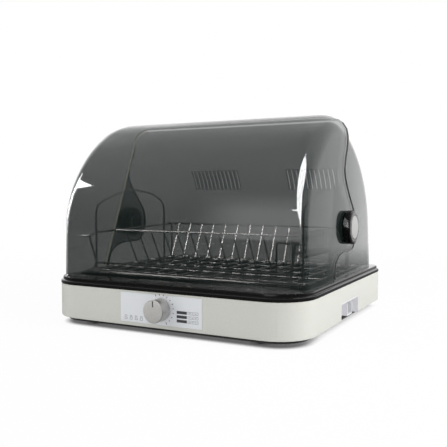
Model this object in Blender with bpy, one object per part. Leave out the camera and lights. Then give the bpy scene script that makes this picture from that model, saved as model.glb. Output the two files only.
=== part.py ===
# Electric dish dryer: a ring base with a sunk deck and blower, and a smoked dome made of a
# fixed rear cover and a front lid that swings up and back over it. Metres, +Z up, front at -Y.
import math
import bpy
from mathutils import Matrix, Vector

# Overall
WIDTH = 0.480
DEPTH = 0.452
FRONT_CORNER_RADIUS = 0.064
REAR_CORNER_RADIUS = 0.022
GAP = 0.0003
OVERCUT = 0.012
ROUND_SHARE = 0.3
TURN = 2.0 * math.pi
SIDE_X = WIDTH / 2
FRONT_Y = -DEPTH / 2
REAR_Y = DEPTH / 2

# Base housing, which stands a little above the underside of the pan
FOOT_HEIGHT = 0.0057
PAN_BOTTOM = FOOT_HEIGHT + GAP
PAN_DROP = 0.0060
BODY_BOTTOM = PAN_BOTTOM + PAN_DROP
BODY_HEIGHT = 0.058
BODY_TOP = BODY_BOTTOM + BODY_HEIGHT
BODY_WALL = 0.003
BODY_EDGE_ROUND = 0.003
LIP_WIDTH = 0.0115
LIP_THICKNESS = 0.0022
BOSS_RADIUS = 0.0065
BOSS_DROP = 0.018
BOSS_TOP = BODY_TOP - BOSS_DROP
BOSS_SIDE_INSET = 0.042
BOSS_FRONT_INSET = 0.044
BOSS_REAR_INSET = 0.036
BOSS_X = SIDE_X - BOSS_SIDE_INSET
BOSS_FRONT_Y = FRONT_Y + BOSS_FRONT_INSET
BOSS_REAR_Y = REAR_Y - BOSS_REAR_INSET
RIB_WIDTH = 0.003
RIB_DROP = 0.004
RIB_TOP = BOSS_TOP - RIB_DROP

# Bottom pan
PAN_CLEARANCE = 0.0005
PAN_INSET = LIP_WIDTH + PAN_CLEARANCE
PAN_RISE = 0.0018
PAN_TOP = BODY_BOTTOM + PAN_RISE
PAN_FLOOR = 0.0025
PAN_FLOOR_TOP = PAN_BOTTOM + PAN_FLOOR
PAN_WALL = 0.0022
INTAKE_SLOT_WIDTH = 0.004
INTAKE_SLOT_BAR = 0.0035
INTAKE_SLOT_PITCH = INTAKE_SLOT_WIDTH + INTAKE_SLOT_BAR
INTAKE_SLOT_COUNT = 9
INTAKE_SLOT_LENGTH = 0.052

# Feet and screws
FOOT_RADIUS = 0.009
FOOT_EDGE = 0.0012
FOOT_SIDE_INSET = 0.080
FOOT_FRONT_INSET = 0.040
FOOT_REAR_INSET = 0.034
FOOT_X = SIDE_X - FOOT_SIDE_INSET
FOOT_FRONT_Y = FRONT_Y + FOOT_FRONT_INSET
FOOT_REAR_Y = REAR_Y - FOOT_REAR_INSET
SCREW_RADIUS = 0.0016
SCREW_HEAD_RADIUS = 0.0032
SCREW_HEAD_HEIGHT = 0.0018
SCREW_BITE = 0.0202
SCREW_TOP = PAN_TOP + SCREW_BITE
SCREW_SPARE = 0.006
SCREW_HEAD_CLEARANCE = 0.0006
SCREW_POCKET_RADIUS = SCREW_HEAD_RADIUS + SCREW_HEAD_CLEARANCE
SCREW_POCKET_DEPTH = SCREW_HEAD_HEIGHT + 2 * GAP

# Deck
DECK_OVERHANG = 0.0006
DECK_SEAT = BODY_TOP + GAP
BEAD_HEIGHT = 0.0059
BEAD_TOP = DECK_SEAT + BEAD_HEIGHT
GROOVE_DEPTH = 0.0006
GROOVE_HEIGHT = 0.0007
STEP_BOTTOM = BEAD_TOP + GROOVE_HEIGHT
STEP_INSET = 0.0032
STEP_EDGE = 0.0012
STEP_HEIGHT = 0.0053
DECK_TOP = STEP_BOTTOM + STEP_HEIGHT
DECK_THICKNESS = 0.0026
DECK_UNDER = DECK_TOP - DECK_THICKNESS
BASIN_DEPTH = 0.0174
DECK_FLOOR = DECK_TOP - BASIN_DEPTH
DECK_FLOOR_THICKNESS = 0.0024
DECK_FLOOR_UNDER = DECK_FLOOR - DECK_FLOOR_THICKNESS
BASIN_SIDE_INSET = 0.0275
BASIN_END_INSET = 0.0755
BASIN_X = SIDE_X - BASIN_SIDE_INSET
BASIN_FRONT_Y = FRONT_Y + BASIN_END_INSET
BASIN_REAR_Y = REAR_Y - BASIN_END_INSET
BASIN_RADIUS = 0.018
BASIN_DRAFT = 0.002
DRAIN_INSET = 0.0165
DRAIN_X = BASIN_X - DRAIN_INSET
DRAIN_Y = 0.011
DRAIN_RADIUS = 0.005

# Drip tray
TRAY_SIDE_LEDGE = 0.009
TRAY_FRONT_LEDGE = 0.0115
TRAY_REAR_LEDGE = 0.003
TRAY_FLANGE_X = BASIN_X + TRAY_SIDE_LEDGE
TRAY_FLANGE_FRONT_Y = BASIN_FRONT_Y - TRAY_FRONT_LEDGE
TRAY_FLANGE_REAR_Y = BASIN_REAR_Y + TRAY_REAR_LEDGE
TRAY_FLANGE_RADIUS = 0.012
TRAY_THICKNESS = 0.0015
TRAY_CLEARANCE = 0.004
TRAY_X = BASIN_X - TRAY_CLEARANCE
TRAY_FRONT_Y = BASIN_FRONT_Y + TRAY_CLEARANCE
TRAY_REAR_Y = BASIN_REAR_Y - TRAY_CLEARANCE
TRAY_RADIUS = BASIN_RADIUS - BASIN_DRAFT
TRAY_STAND = 0.0037
TRAY_FLOOR = DECK_FLOOR + TRAY_STAND
TRAY_SPOUT_RADIUS = 0.003

# Warm air outlet
OUTLET_SIDE_INSET = 0.0545
OUTLET_REAR_INSET = 0.0825
OUTLET_X = OUTLET_SIDE_INSET - BASIN_X
OUTLET_Y = BASIN_REAR_Y - OUTLET_REAR_INSET
OUTLET_LENGTH_X = 0.056
OUTLET_LENGTH_Y = 0.052
OUTLET_RIM = 0.0055
GRILLE_RISE = 0.012
GRILLE_TOP = TRAY_FLOOR + GRILLE_RISE
GRILLE_PLATE = 0.0016
GRILLE_WALL = 0.0016
GRILLE_SLOT_COUNT = 7
GRILLE_BAR_SHARE = 0.46

# Control plate and timer
PLATE_WIDTH = 0.1544
PLATE_RISE = 0.0066
PLATE_HEIGHT = 0.0482
PLATE_BOTTOM = BODY_BOTTOM + PLATE_RISE
PLATE_TOP = PLATE_BOTTOM + PLATE_HEIGHT
PLATE_THICKNESS = 0.0014
PLATE_PROUD = 0.0003
PLATE_SINK = PLATE_THICKNESS - PLATE_PROUD
KNOB_X = 0.002
KNOB_RISE = 0.0254
KNOB_HEIGHT = PLATE_BOTTOM + KNOB_RISE
KNOB_RADIUS = 0.0185
KNOB_DEPTH = 0.0225
KNOB_TAPER = 0.0007
KNOB_SKIRT_RADIUS = KNOB_RADIUS - KNOB_TAPER
KNOB_BEVEL = 0.0009
KNOB_STANDOFF = 0.0012
KNOB_BORE_DEPTH = 0.014
KNOB_BORE_SPARE = 0.0012
INDEX_WIDTH = 0.0018
INDEX_LENGTH = 0.0090
INDEX_DEPTH = 0.0012
SHAFT_RADIUS = 0.0030
TIMER_WIDTH = 0.042
TIMER_DEPTH = 0.032
TIMER_DROP = 0.019
TIMER_RISE = 0.0165
TIMER_BOTTOM = KNOB_HEIGHT - TIMER_DROP
TIMER_TOP = KNOB_HEIGHT + TIMER_RISE
TIMER_COLLAR_WALL = 0.0028
TIMER_COLLAR_RADIUS = SHAFT_RADIUS + TIMER_COLLAR_WALL
TIMER_EDGE = 0.0015

# Dome: straight walls up to the start of the arch, then half an ellipse to the crest
LID_SIDE_INSET = 0.006
LID_END_INSET = 0.038
LID_HALF_WIDTH = SIDE_X - LID_SIDE_INSET
LID_HALF_DEPTH = REAR_Y - LID_END_INSET
LID_THICKNESS = 0.0025
LID_BOTTOM = DECK_TOP + GAP
DOME_HEIGHT = 0.2815
LID_TOP = LID_BOTTOM + DOME_HEIGHT
WALL_HEIGHT = 0.098
ARCH_START = LID_BOTTOM + WALL_HEIGHT
LID_DRAFT_SHARE = 0.020
COVER_DRAFT_SHARE = 0.036
LID_TOP_FILLET = 0.033
LID_CORNER_FILLET = 0.010
FILLET_RISE = 0.0675
FILLET_DROP = 0.032
FILLET_LOW = LID_BOTTOM + FILLET_RISE
FILLET_HIGH = LID_TOP - FILLET_DROP
COVER_SIDE_CLEARANCE = 0.006
COVER_END_REACH = 0.003
COVER_DROP = 0.0083
COVER_HALF_WIDTH = LID_HALF_WIDTH - COVER_SIDE_CLEARANCE
COVER_HALF_DEPTH = LID_HALF_DEPTH + COVER_END_REACH
COVER_TOP = LID_TOP - COVER_DROP
COVER_THICKNESS = 0.0025
COVER_FILLET_DROP = 0.0095
COVER_TOP_FILLET = LID_TOP_FILLET - COVER_FILLET_DROP

# Lid hinge, and the seam that runs round it: forward of the pivot, back of it, and up or down
PIVOT_Y = 0.0163
PIVOT_RISE = 0.0865
PIVOT_Z = LID_BOTTOM + PIVOT_RISE
LOBE_RADIUS = 0.049
LOBE_TOP_ANGLE = math.radians(36.0)
LOBE_BOTTOM_ANGLE = math.radians(-55.0)
SEAM_FOOT_REACH = 0.078
SEAM_SHIN_REACH = 0.0708
SEAM_SHIN_RISE = 0.0215
SEAM_KNEE_REACH = 0.0543
SEAM_KNEE_RISE = 0.0372
SEAM_CALF_REACH = 0.0243
SEAM_CALF_RISE = 0.045
SEAM_SHOULDER_BACK = 0.0067
SEAM_SHOULDER_RISE = 0.065
SEAM_WAIST_REACH = 0.0103
SEAM_WAIST_RISE = 0.093
SEAM_NECK_REACH = 0.0063
SEAM_NECK_DROP = 0.078
SEAM_THROAT_BACK = 0.0077
SEAM_THROAT_DROP = 0.050
SEAM_CREST_BACK = 0.0115
SEAM_CREST_DROP = 0.012
SEAM_FOOT_Y = PIVOT_Y - SEAM_FOOT_REACH
COVER_LAP = 0.0145
COVER_EDGE_FOOT_Y = SEAM_FOOT_Y - COVER_LAP
COVER_EDGE_SLOPE_SHARE = 0.363
HINGE_PIN_RADIUS = 0.0080
HINGE_HOLE_RADIUS = HINGE_PIN_RADIUS + GAP
HINGE_PIN_HEAD_RADIUS = 0.0125
HINGE_PIN_HEAD = 0.0022
HINGE_PIN_EDGE = 0.0006
HINGE_KNOB_RADIUS = 0.0295
HINGE_KNOB_PROUD = 0.0122
HINGE_KNOB_EDGE = 0.0030
HINGE_KNOB_BORE = 0.0085
HINGE_SPACER_EDGE = 0.0004
HINGE_CAP_RADIUS = 0.0205
HINGE_CAP_THICKNESS = 0.0014
HINGE_CAP_SINK = 0.0010

# Rear louvres
LOUVRE_COUNT = 12
LOUVRE_WIDTH = 0.0042
LOUVRE_BAR = 0.00555
LOUVRE_PITCH = LOUVRE_WIDTH + LOUVRE_BAR
LOUVRE_DROP = 0.0792
LOUVRE_HEIGHT = 0.0405
LOUVRE_TOP = COVER_TOP - LOUVRE_DROP
LOUVRE_BOTTOM = LOUVRE_TOP - LOUVRE_HEIGHT
LOUVRE_LEFT_INSET = 0.0605
LOUVRE_RIGHT_INSET = 0.1695
LOUVRE_LEFT_X = LOUVRE_LEFT_INSET - COVER_HALF_WIDTH
LOUVRE_RIGHT_X = COVER_HALF_WIDTH - LOUVRE_RIGHT_INSET

# Cover screws
COVER_TAB_INSET = 0.0795
COVER_TAB_X = COVER_HALF_WIDTH - COVER_TAB_INSET
COVER_TAB_WIDTH = 0.018
COVER_TAB_LENGTH = 0.014
COVER_TAB_HEIGHT = 0.0030
TAB_SCREW_DEPTH = 0.0090

# Side recess and spout
NOTCH_Y = 0.0115
NOTCH_LENGTH = 0.104
NOTCH_HEIGHT = 0.031
NOTCH_FRONT_Y = NOTCH_Y - NOTCH_LENGTH / 2
NOTCH_REAR_Y = NOTCH_Y + NOTCH_LENGTH / 2
NOTCH_TOP = BODY_BOTTOM + NOTCH_HEIGHT
LINER_WALL = 0.0020
LINER_DEPTH = 0.0165
SPOUT_WIDTH = 0.028
SPOUT_RISE = 0.004
SPOUT_DROP = 0.0055
SPOUT_BOTTOM = BODY_BOTTOM + SPOUT_RISE
SPOUT_TOP = NOTCH_TOP - SPOUT_DROP
SPOUT_RECESS = 0.0006
SPOUT_WALL = 0.0022
SPOUT_LENGTH = 0.046
SPOUT_CLEARANCE = 0.0004

# Dish rack: a grid on the tray's ledge, with ends, handles, rails and dividers set on its wires
RACK_FRAME_WIRE = 0.0018
RACK_RAIL_WIRE = 0.0019
RACK_THIN_WIRE = 0.0013
WIRE_BITE = 0.0007
RACK_Z = DECK_TOP + GAP + TRAY_THICKNESS + GAP + RACK_FRAME_WIRE
CROSS_Z = RACK_Z + RACK_FRAME_WIRE + RACK_THIN_WIRE - WIRE_BITE
LONG_SEAT = RACK_Z + RACK_THIN_WIRE + GAP
CROSS_SEAT = CROSS_Z + RACK_THIN_WIRE + GAP
RACK_SIDE_SEAT = 0.0055
RACK_FRONT_SEAT = 0.009
RACK_REAR_SEAT = 0.0015
RACK_X = TRAY_X + RACK_SIDE_SEAT
RACK_FRONT_Y = TRAY_FRONT_Y - RACK_FRONT_SEAT
RACK_REAR_Y = TRAY_REAR_Y + RACK_REAR_SEAT
RACK_RADIUS = 0.014
CROSS_COUNT = 14
CROSS_MARGIN = 0.02615
CROSS_PITCH = 2 * (RACK_X - CROSS_MARGIN) / (CROSS_COUNT - 1)
RAIL_INSET = 0.0128
RAIL_X = RACK_X - RAIL_INSET
RAIL_END_X = RAIL_X - RACK_FRAME_WIRE - GAP
REAR_RAIL_RISE = 0.0751
REAR_RAIL_Z = RACK_Z + REAR_RAIL_RISE
REAR_RAIL_INSET = 0.0218
REAR_RAIL_Y = RACK_REAR_Y - REAR_RAIL_INSET
LONG_WIRE_COUNT = 5
LONG_FRONT_MARGIN = 0.0257
LONG_FIRST_Y = RACK_FRONT_Y + LONG_FRONT_MARGIN
LONG_PITCH = (REAR_RAIL_Y - LONG_FIRST_Y) / (LONG_WIRE_COUNT - 1)
FRONT_RAIL_RISE = 0.0708
FRONT_RAIL_Z = RACK_Z + FRONT_RAIL_RISE
FRONT_RAIL_INSET = 0.0787
FRONT_RAIL_Y = RACK_FRONT_Y + FRONT_RAIL_INSET
CORNER_RISE = 0.0644
CORNER_Z = RACK_Z + CORNER_RISE
END_SHOULDER_INSET = 0.028
END_SHOULDER_Y = RACK_FRONT_Y + END_SHOULDER_INSET
END_SHOULDER_RISE = 0.0697
END_SHOULDER_Z = RACK_Z + END_SHOULDER_RISE
HOOK_REACH = 0.017
LOW_RAIL_RISE = 0.0149
LOW_RAIL_Z = RACK_Z + LOW_RAIL_RISE
LOW_RAIL_FRONT_INSET = 0.0107
LOW_RAIL_SIDE_INSET = 0.022
LOW_RAIL_Y = RACK_FRONT_Y + LOW_RAIL_FRONT_INSET
LOW_RAIL_X = RACK_X - LOW_RAIL_SIDE_INSET
DIVIDER_COUNT = 11
DIVIDER_INSET = 0.0224
DIVIDER_REAR_LEAN = 0.036
DIVIDER_FRONT_LEAN = 0.042
DIVIDER_SEAT = RACK_RAIL_WIRE + RACK_THIN_WIRE + GAP
ARCH_X = RAIL_X + 2 * RACK_FRAME_WIRE + GAP
ARCH_REAR_INSET = 0.0468
ARCH_FRONT_Y = LONG_FIRST_Y
ARCH_REAR_Y = RACK_REAR_Y - ARCH_REAR_INSET
ARCH_LEG_RISE = 0.1196
ARCH_SHOULDER_RISE = 0.1405
ARCH_TOP_RISE = 0.1502
ARCH_FRONT_SHOULDER = 0.062
ARCH_REAR_SHOULDER = 0.041
ARCH_TOP_BACK = 0.116

# Cutlery basket, beside the right end rail, with its trough below the rim wires
BASKET_CLEARANCE = 0.007
BASKET_WIDTH = 0.058
BASKET_RIGHT_X = RAIL_X - BASKET_CLEARANCE
BASKET_LEFT_X = BASKET_RIGHT_X - BASKET_WIDTH
BASKET_RIM_DROP = 0.004
BASKET_RIM_RISE = 0.004
BASKET_LEFT_Z = REAR_RAIL_Z - BASKET_RIM_DROP
BASKET_RIGHT_Z = REAR_RAIL_Z + BASKET_RIM_RISE
BASKET_SHOULDER_REACH = 0.016
BASKET_SHOULDER_DROP = 0.016
BASKET_SHOULDER_X = BASKET_LEFT_X + BASKET_SHOULDER_REACH
BASKET_SHOULDER_Z = BASKET_LEFT_Z - BASKET_SHOULDER_DROP
BASKET_FLOOR_REACH = 0.034
BASKET_FLOOR_DROP = 0.0315
BASKET_FLOOR_LEFT_X = BASKET_LEFT_X + BASKET_FLOOR_REACH
BASKET_FLOOR_LEFT_Z = BASKET_LEFT_Z - BASKET_FLOOR_DROP
BASKET_FLOOR_INSET = 0.009
BASKET_FLOOR_DEPTH = 0.045
BASKET_FLOOR_RIGHT_X = BASKET_RIGHT_X - BASKET_FLOOR_INSET
BASKET_FLOOR_RIGHT_Z = BASKET_RIGHT_Z - BASKET_FLOOR_DEPTH
BASKET_TURN_DEPTH = 0.036
BASKET_TURN_Z = BASKET_RIGHT_Z - BASKET_TURN_DEPTH
BASKET_LENGTH = 0.126
BASKET_REAR_INSET = 0.086
BASKET_REAR_Y = RACK_REAR_Y - BASKET_REAR_INSET
BASKET_FRONT_Y = BASKET_REAR_Y - BASKET_LENGTH
BASKET_WIRES = 9
BASKET_WIRE = 0.0012
BASKET_RAIL = 0.0015
BASKET_END = 0.0040
BASKET_HOOK_REACH = 0.012
BASKET_HOOK_DROP = 0.0090
BASKET_HOOK_INSET = 0.0300
STAND_CLEARANCE = 0.006
STAND_REACH = 0.021
STAND_DROP = 0.014
STAND_LENGTH = 0.076
STAND_X = BASKET_LEFT_X - STAND_CLEARANCE
STAND_Z = BASKET_LEFT_Z - STAND_DROP
STAND_REACH_X = STAND_X + STAND_REACH
STAND_FRONT_Y = BASKET_FRONT_Y + BASKET_END
STAND_REAR_Y = STAND_FRONT_Y + STAND_LENGTH

# Duct and heater
DUCT_WALL = 0.0018
DUCT_STAND = 0.0025
DUCT_BOTTOM = PAN_FLOOR_TOP + DUCT_STAND
DUCT_TOP = DECK_FLOOR_UNDER - GAP
DUCT_MARGIN_X = 0.0070
DUCT_MARGIN_Y = 0.0040
DUCT_LENGTH_X = OUTLET_LENGTH_X + 2 * DUCT_MARGIN_X
DUCT_LENGTH_Y = OUTLET_LENGTH_Y + 2 * DUCT_MARGIN_Y
HEATER_LENGTH_X = 0.0180
HEATER_BOTTOM = DUCT_BOTTOM + DUCT_WALL + GAP
HEATER_HEIGHT = 0.0409
HEATER_TOP = HEATER_BOTTOM + HEATER_HEIGHT
HEATER_FIN_COUNT = 11
HEATER_FIN_SHARE = 0.45
HEATER_SPINE = 0.0040
HEATER_OFFSET = 0.008
HEATER_X = OUTLET_X + HEATER_OFFSET
CUTOUT_RADIUS = 0.0075
CUTOUT_THICKNESS = 0.0060
CUTOUT_RISE = 0.029
CUTOUT_EDGE = 0.0008

# Blower, beside the duct that it blows into
BLOWER_REACH = 0.113
BLOWER_OFFSET = 0.028
BLOWER_X = OUTLET_X + BLOWER_REACH
BLOWER_Y = OUTLET_Y - BLOWER_OFFSET
SCROLL_RADIUS = 0.057
SCROLL_STAND = 0.0045
SCROLL_HEIGHT = 0.030
SCROLL_BOTTOM = PAN_FLOOR_TOP + SCROLL_STAND
SCROLL_TOP = SCROLL_BOTTOM + SCROLL_HEIGHT
SCROLL_WALL = 0.0018
SCROLL_CLEARANCE = 0.005
SCROLL_OUTLET_X = OUTLET_X + DUCT_LENGTH_X / 2 + SCROLL_CLEARANCE
SCROLL_OUTLET_WIDTH = 0.048
SCROLL_OUTLET_REAR_Y = BLOWER_Y + SCROLL_RADIUS
SCROLL_OUTLET_FRONT_Y = SCROLL_OUTLET_REAR_Y - SCROLL_OUTLET_WIDTH
INLET_RADIUS = 0.031
IMPELLER_CLEARANCE = 0.013
IMPELLER_RADIUS = SCROLL_RADIUS - IMPELLER_CLEARANCE
IMPELLER_BLADE_DEPTH = 0.009
IMPELLER_INNER_RADIUS = IMPELLER_RADIUS - IMPELLER_BLADE_DEPTH
IMPELLER_FLOOR_CLEARANCE = 0.0045
IMPELLER_ROOF_CLEARANCE = 0.004
IMPELLER_BOTTOM = SCROLL_BOTTOM + IMPELLER_FLOOR_CLEARANCE
IMPELLER_TOP = SCROLL_TOP - IMPELLER_ROOF_CLEARANCE
IMPELLER_DISC = 0.0018
IMPELLER_BLADES = 18
IMPELLER_BLADE = 0.0010
IMPELLER_HUB_RADIUS = 0.0080
IMPELLER_HUB_RISE = 0.0075
IMPELLER_HUB_BOTTOM = IMPELLER_BOTTOM + IMPELLER_HUB_RISE
IMPELLER_SHAFT_RADIUS = 0.0020
IMPELLER_SHAFT_RISE = 0.005
IMPELLER_SHAFT_TOP = SCROLL_TOP + IMPELLER_SHAFT_RISE
MOTOR_RADIUS = 0.024
MOTOR_TOP = DECK_FLOOR_UNDER - GAP
MOTOR_BORE_CLEARANCE = 0.0004
MOTOR_BORE_RADIUS = IMPELLER_SHAFT_RADIUS + MOTOR_BORE_CLEARANCE
MOTOR_BORE_SPARE = 0.0018
MOTOR_BORE_TOP = IMPELLER_SHAFT_TOP + MOTOR_BORE_SPARE
MOTOR_EDGE = 0.0020

# Electric parts at the rear right
TERMINAL_SIDE_INSET = 0.120
TERMINAL_REAR_INSET = 0.055
TERMINAL_X = SIDE_X - TERMINAL_SIDE_INSET
TERMINAL_Y = REAR_Y - TERMINAL_REAR_INSET
TERMINAL_LENGTH = 0.040
TERMINAL_WIDTH = 0.018
TERMINAL_HEIGHT = 0.015
TERMINAL_BARRIER = 0.0015
TERMINAL_POLES = 4
TERMINAL_STEP = 0.0045
GLAND_SIDE_INSET = 0.090
GLAND_RISE = 0.018
GLAND_X = SIDE_X - GLAND_SIDE_INSET
GLAND_Z = BODY_BOTTOM + GLAND_RISE
GLAND_RADIUS = 0.0075
GLAND_FLANGE_WIDTH = 0.0025
GLAND_FLANGE_RADIUS = GLAND_RADIUS + GLAND_FLANGE_WIDTH
GLAND_FLANGE = 0.0025
GLAND_BORE_RADIUS = 0.0037
GLAND_LENGTH = 0.0110

# Fineness
CORNER_STEPS = 8
ARCH_STEPS = 28
FILLET_STEPS = 4
ROUND_STEPS = 32
SMALL_ROUND_STEPS = 14
WIRE_SIDES = 6
THIN_SIDES = 5
BEND_STEPS = 2
WIRE_BEND = 0.0060
SEAM_STEPS = 4
SMOOTH_ANGLE = math.radians(32.0)


def clear_scene():
    for old in list(bpy.data.objects):
        bpy.data.objects.remove(old, do_unlink=True)


def make_material(name, colour, roughness, metallic=0.0, alpha=1.0):
    mat = bpy.data.materials.new(name)
    mat.use_nodes = True
    shader = mat.node_tree.nodes["Principled BSDF"]
    shader.inputs["Base Color"].default_value = (*colour, 1.0)
    shader.inputs["Roughness"].default_value = roughness
    shader.inputs["Metallic"].default_value = metallic
    shader.inputs["Alpha"].default_value = alpha
    mat.diffuse_color = (*colour, alpha)
    return mat


def make_object(name, verts, faces, mat, origin=None):
    origin = Vector(origin) if origin is not None else Vector()
    mesh = bpy.data.meshes.new(name)
    mesh.from_pydata([Vector(v) - origin for v in verts], [], faces)
    mesh.validate()
    mesh.shade_smooth()
    mesh.set_sharp_from_angle(angle=SMOOTH_ANGLE)
    ob = bpy.data.objects.new(name, mesh)
    ob.location = origin
    bpy.context.scene.collection.objects.link(ob)
    if mat is not None:
        mesh.materials.append(mat)
    return ob


def ring_solid(rings):
    """Closed body through rings of equally many points, with a flat face at each end."""
    count = len(rings[0])
    verts = [point for ring in rings for point in ring]
    faces = [tuple(range(count))[::-1]]
    for level in range(len(rings) - 1):
        low = level * count
        high = low + count
        for i in range(count):
            j = (i + 1) % count
            faces.append((low + i, low + j, high + j, high + i))
    top = (len(rings) - 1) * count
    faces.append(tuple(range(top, top + count)))
    return verts, faces


def merge(parts):
    verts = []
    faces = []
    for part_verts, part_faces in parts:
        shift = len(verts)
        verts.extend(part_verts)
        faces.extend(tuple(shift + i for i in face) for face in part_faces)
    return verts, faces


def outline(half_x, front_y, rear_y, front_radius, rear_radius):
    """Rounded rectangle as seen from above, counter-clockwise."""
    corners = (
        (half_x, front_y, front_radius, -1.0, 1.0, -0.25),
        (half_x, rear_y, rear_radius, 1.0, 1.0, 0.0),
        (-half_x, rear_y, rear_radius, 1.0, -1.0, 0.25),
        (-half_x, front_y, front_radius, -1.0, -1.0, 0.5),
    )
    points = []
    for x, y, radius, side_y, side_x, start in corners:
        centre_x = x - side_x * radius
        centre_y = y - side_y * radius
        for step in range(CORNER_STEPS + 1):
            angle = TURN * (start + 0.25 * step / CORNER_STEPS)
            points.append((centre_x + radius * math.cos(angle), centre_y + radius * math.sin(angle)))
    return points


def body_outline(inset):
    return outline(
        SIDE_X - inset,
        FRONT_Y + inset,
        REAR_Y - inset,
        FRONT_CORNER_RADIUS - inset,
        REAR_CORNER_RADIUS - inset,
    )


def at_height(points, z):
    return [(x, y, z) for x, y in points]


def prism(points, bottom, top):
    return ring_solid([at_height(points, bottom), at_height(points, top)])


def box(low, high):
    (x0, y0, z0), (x1, y1, z1) = low, high
    points = ((x0, y0), (x1, y0), (x1, y1), (x0, y1))
    return prism(points, z0, z1)


def centred_box(centre, size):
    low = [c - s / 2 for c, s in zip(centre, size)]
    high = [c + s / 2 for c, s in zip(centre, size)]
    return box(low, high)


def turned(profile, centre, axis, steps=ROUND_STEPS):
    """Solid of revolution. The profile holds (radius, distance along the axis)."""
    rotation = Vector((0.0, 0.0, 1.0)).rotation_difference(Vector(axis))
    rings = []
    for radius, along in profile:
        ring = []
        for i in range(steps):
            angle = TURN * i / steps
            local = Vector((radius * math.cos(angle), radius * math.sin(angle), along))
            ring.append(tuple(Vector(centre) + rotation @ local))
        rings.append(ring)
    return ring_solid(rings)


def extruded_x(profile, x0, x1):
    """Prism along X from (y, z) points given counter-clockwise as seen from +X."""
    rings = [[(x, y, z) for y, z in profile] for x in (x0, x1)]
    return ring_solid(rings)


def rounded_path(points, radius, closed=False):
    """The path with each corner replaced by a short arc-like bend."""
    vectors = [Vector(p) for p in points]
    count = len(vectors)
    path = []
    for i, corner in enumerate(vectors):
        if not closed and i in (0, count - 1):
            path.append(corner)
            continue
        before = vectors[i - 1] - corner
        after = vectors[(i + 1) % count] - corner
        reach = min(radius, before.length / 2, after.length / 2)
        start = corner + before.normalized() * reach
        end = corner + after.normalized() * reach
        for step in range(BEND_STEPS + 1):
            t = step / BEND_STEPS
            path.append(start.lerp(corner, t).lerp(corner.lerp(end, t), t))
    return path


def wire(points, radius, sides=WIRE_SIDES, closed=False, bend=WIRE_BEND):
    """Round wire along a path, as one closed body."""
    path = rounded_path(points, bend, closed)
    count = len(path)
    tangents = []
    for i in range(count):
        ahead = path[(i + 1) % count] if closed or i < count - 1 else path[i]
        behind = path[i - 1] if closed or i > 0 else path[i]
        tangents.append((ahead - behind).normalized())
    guide = Vector((0.0, 0.0, 1.0))
    if abs(tangents[0].dot(guide)) > math.cos(math.radians(30.0)):
        guide = Vector((1.0, 0.0, 0.0))
    normal = (guide - tangents[0] * guide.dot(tangents[0])).normalized()
    rings = []
    for i in range(count):
        tangent = tangents[i]
        normal = (normal - tangent * normal.dot(tangent)).normalized()
        side = tangent.cross(normal)
        ring = []
        for k in range(sides):
            angle = TURN * (k + 0.5) / sides
            offset = normal * (radius * math.cos(angle)) + side * (radius * math.sin(angle))
            ring.append(tuple(path[i] + offset))
        rings.append(ring)
    if not closed:
        return ring_solid(rings)
    verts = [point for ring in rings for point in ring]
    faces = []
    for i in range(count):
        low = i * sides
        high = ((i + 1) % count) * sides
        for k in range(sides):
            j = (k + 1) % sides
            faces.append((low + k, low + j, high + j, high + k))
    return verts, faces


def boolean(ob, operation, part, label, solver="EXACT"):
    verts, faces = part
    tool = make_object(f"{ob.name}_{label}_tool", verts, faces, None)
    tool.hide_render = True
    tool.display_type = "WIRE"
    modifier = ob.modifiers.new(label, "BOOLEAN")
    modifier.operation = operation
    modifier.object = tool
    modifier.solver = solver
    tool.parent = ob
    tool.matrix_parent_inverse = Matrix.Translation(ob.location).inverted()
    return tool


def cut(ob, part, label, solver="EXACT"):
    return boolean(ob, "DIFFERENCE", part, label, solver)


def join(ob, part, label, solver="EXACT"):
    return boolean(ob, "UNION", part, label, solver)


# Dome blocks
def arch_points(half_depth, top, bottom):
    """Arch from front foot over the crest to rear foot, as (y, z, normal y, normal z)."""
    points = [(-half_depth, bottom, -1.0, 0.0)]
    rise = top - ARCH_START
    for step in range(ARCH_STEPS + 1):
        angle = math.pi * (1.0 - step / ARCH_STEPS)
        y = half_depth * math.cos(angle)
        z = ARCH_START + rise * math.sin(angle)
        normal = Vector((math.cos(angle) / half_depth, math.sin(angle) / rise)).normalized()
        points.append((y, z, normal.x, normal.y))
    points.append((half_depth, bottom, 1.0, 0.0))
    return points


def dome_block(half_width, half_depth, top, bottom, draft_share, top_fillet, corner_fillet):
    """Solid dome with drafted side walls and a fillet that grows towards the top."""
    arch = arch_points(half_depth, top, bottom)
    rings = []
    turns = [step / FILLET_STEPS for step in range(FILLET_STEPS + 1)]
    stations = [(-1.0, t) for t in turns] + [(1.0, t) for t in reversed(turns)]
    for side, t in stations:
        angle = 0.25 * TURN * t
        ring = []
        for y, z, ny, nz in arch:
            blend = min(1.0, max(0.0, (z - FILLET_LOW) / (FILLET_HIGH - FILLET_LOW)))
            fillet = corner_fillet + (top_fillet - corner_fillet) * blend * blend * (3.0 - 2.0 * blend)
            depth = fillet * (1.0 - math.sin(angle))
            py = y - ny * depth
            pz = z - nz * depth
            x = half_width - fillet * (1.0 - math.cos(angle)) - draft_share * (pz - LID_BOTTOM)
            ring.append((side * x, py, pz))
        rings.append(ring[::-1])
    return ring_solid(rings)


def smooth_curve(points, steps):
    """Even curve through the points, with doubled ends."""
    padded = [points[0], *points, points[-1]]
    curve = []
    for i in range(1, len(padded) - 2):
        a, b, c, d = (Vector(p) for p in padded[i - 1 : i + 3])
        for step in range(steps):
            t = step / steps
            slope = (c - a) * t
            square = (2.0 * a - 5.0 * b + 4.0 * c - d) * t * t
            cube = (3.0 * b - a - 3.0 * c + d) * t**3
            curve.append((2.0 * b + slope + square + cube) / 2)
    curve.append(Vector(points[-1]))
    return [tuple(p) for p in curve]


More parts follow.
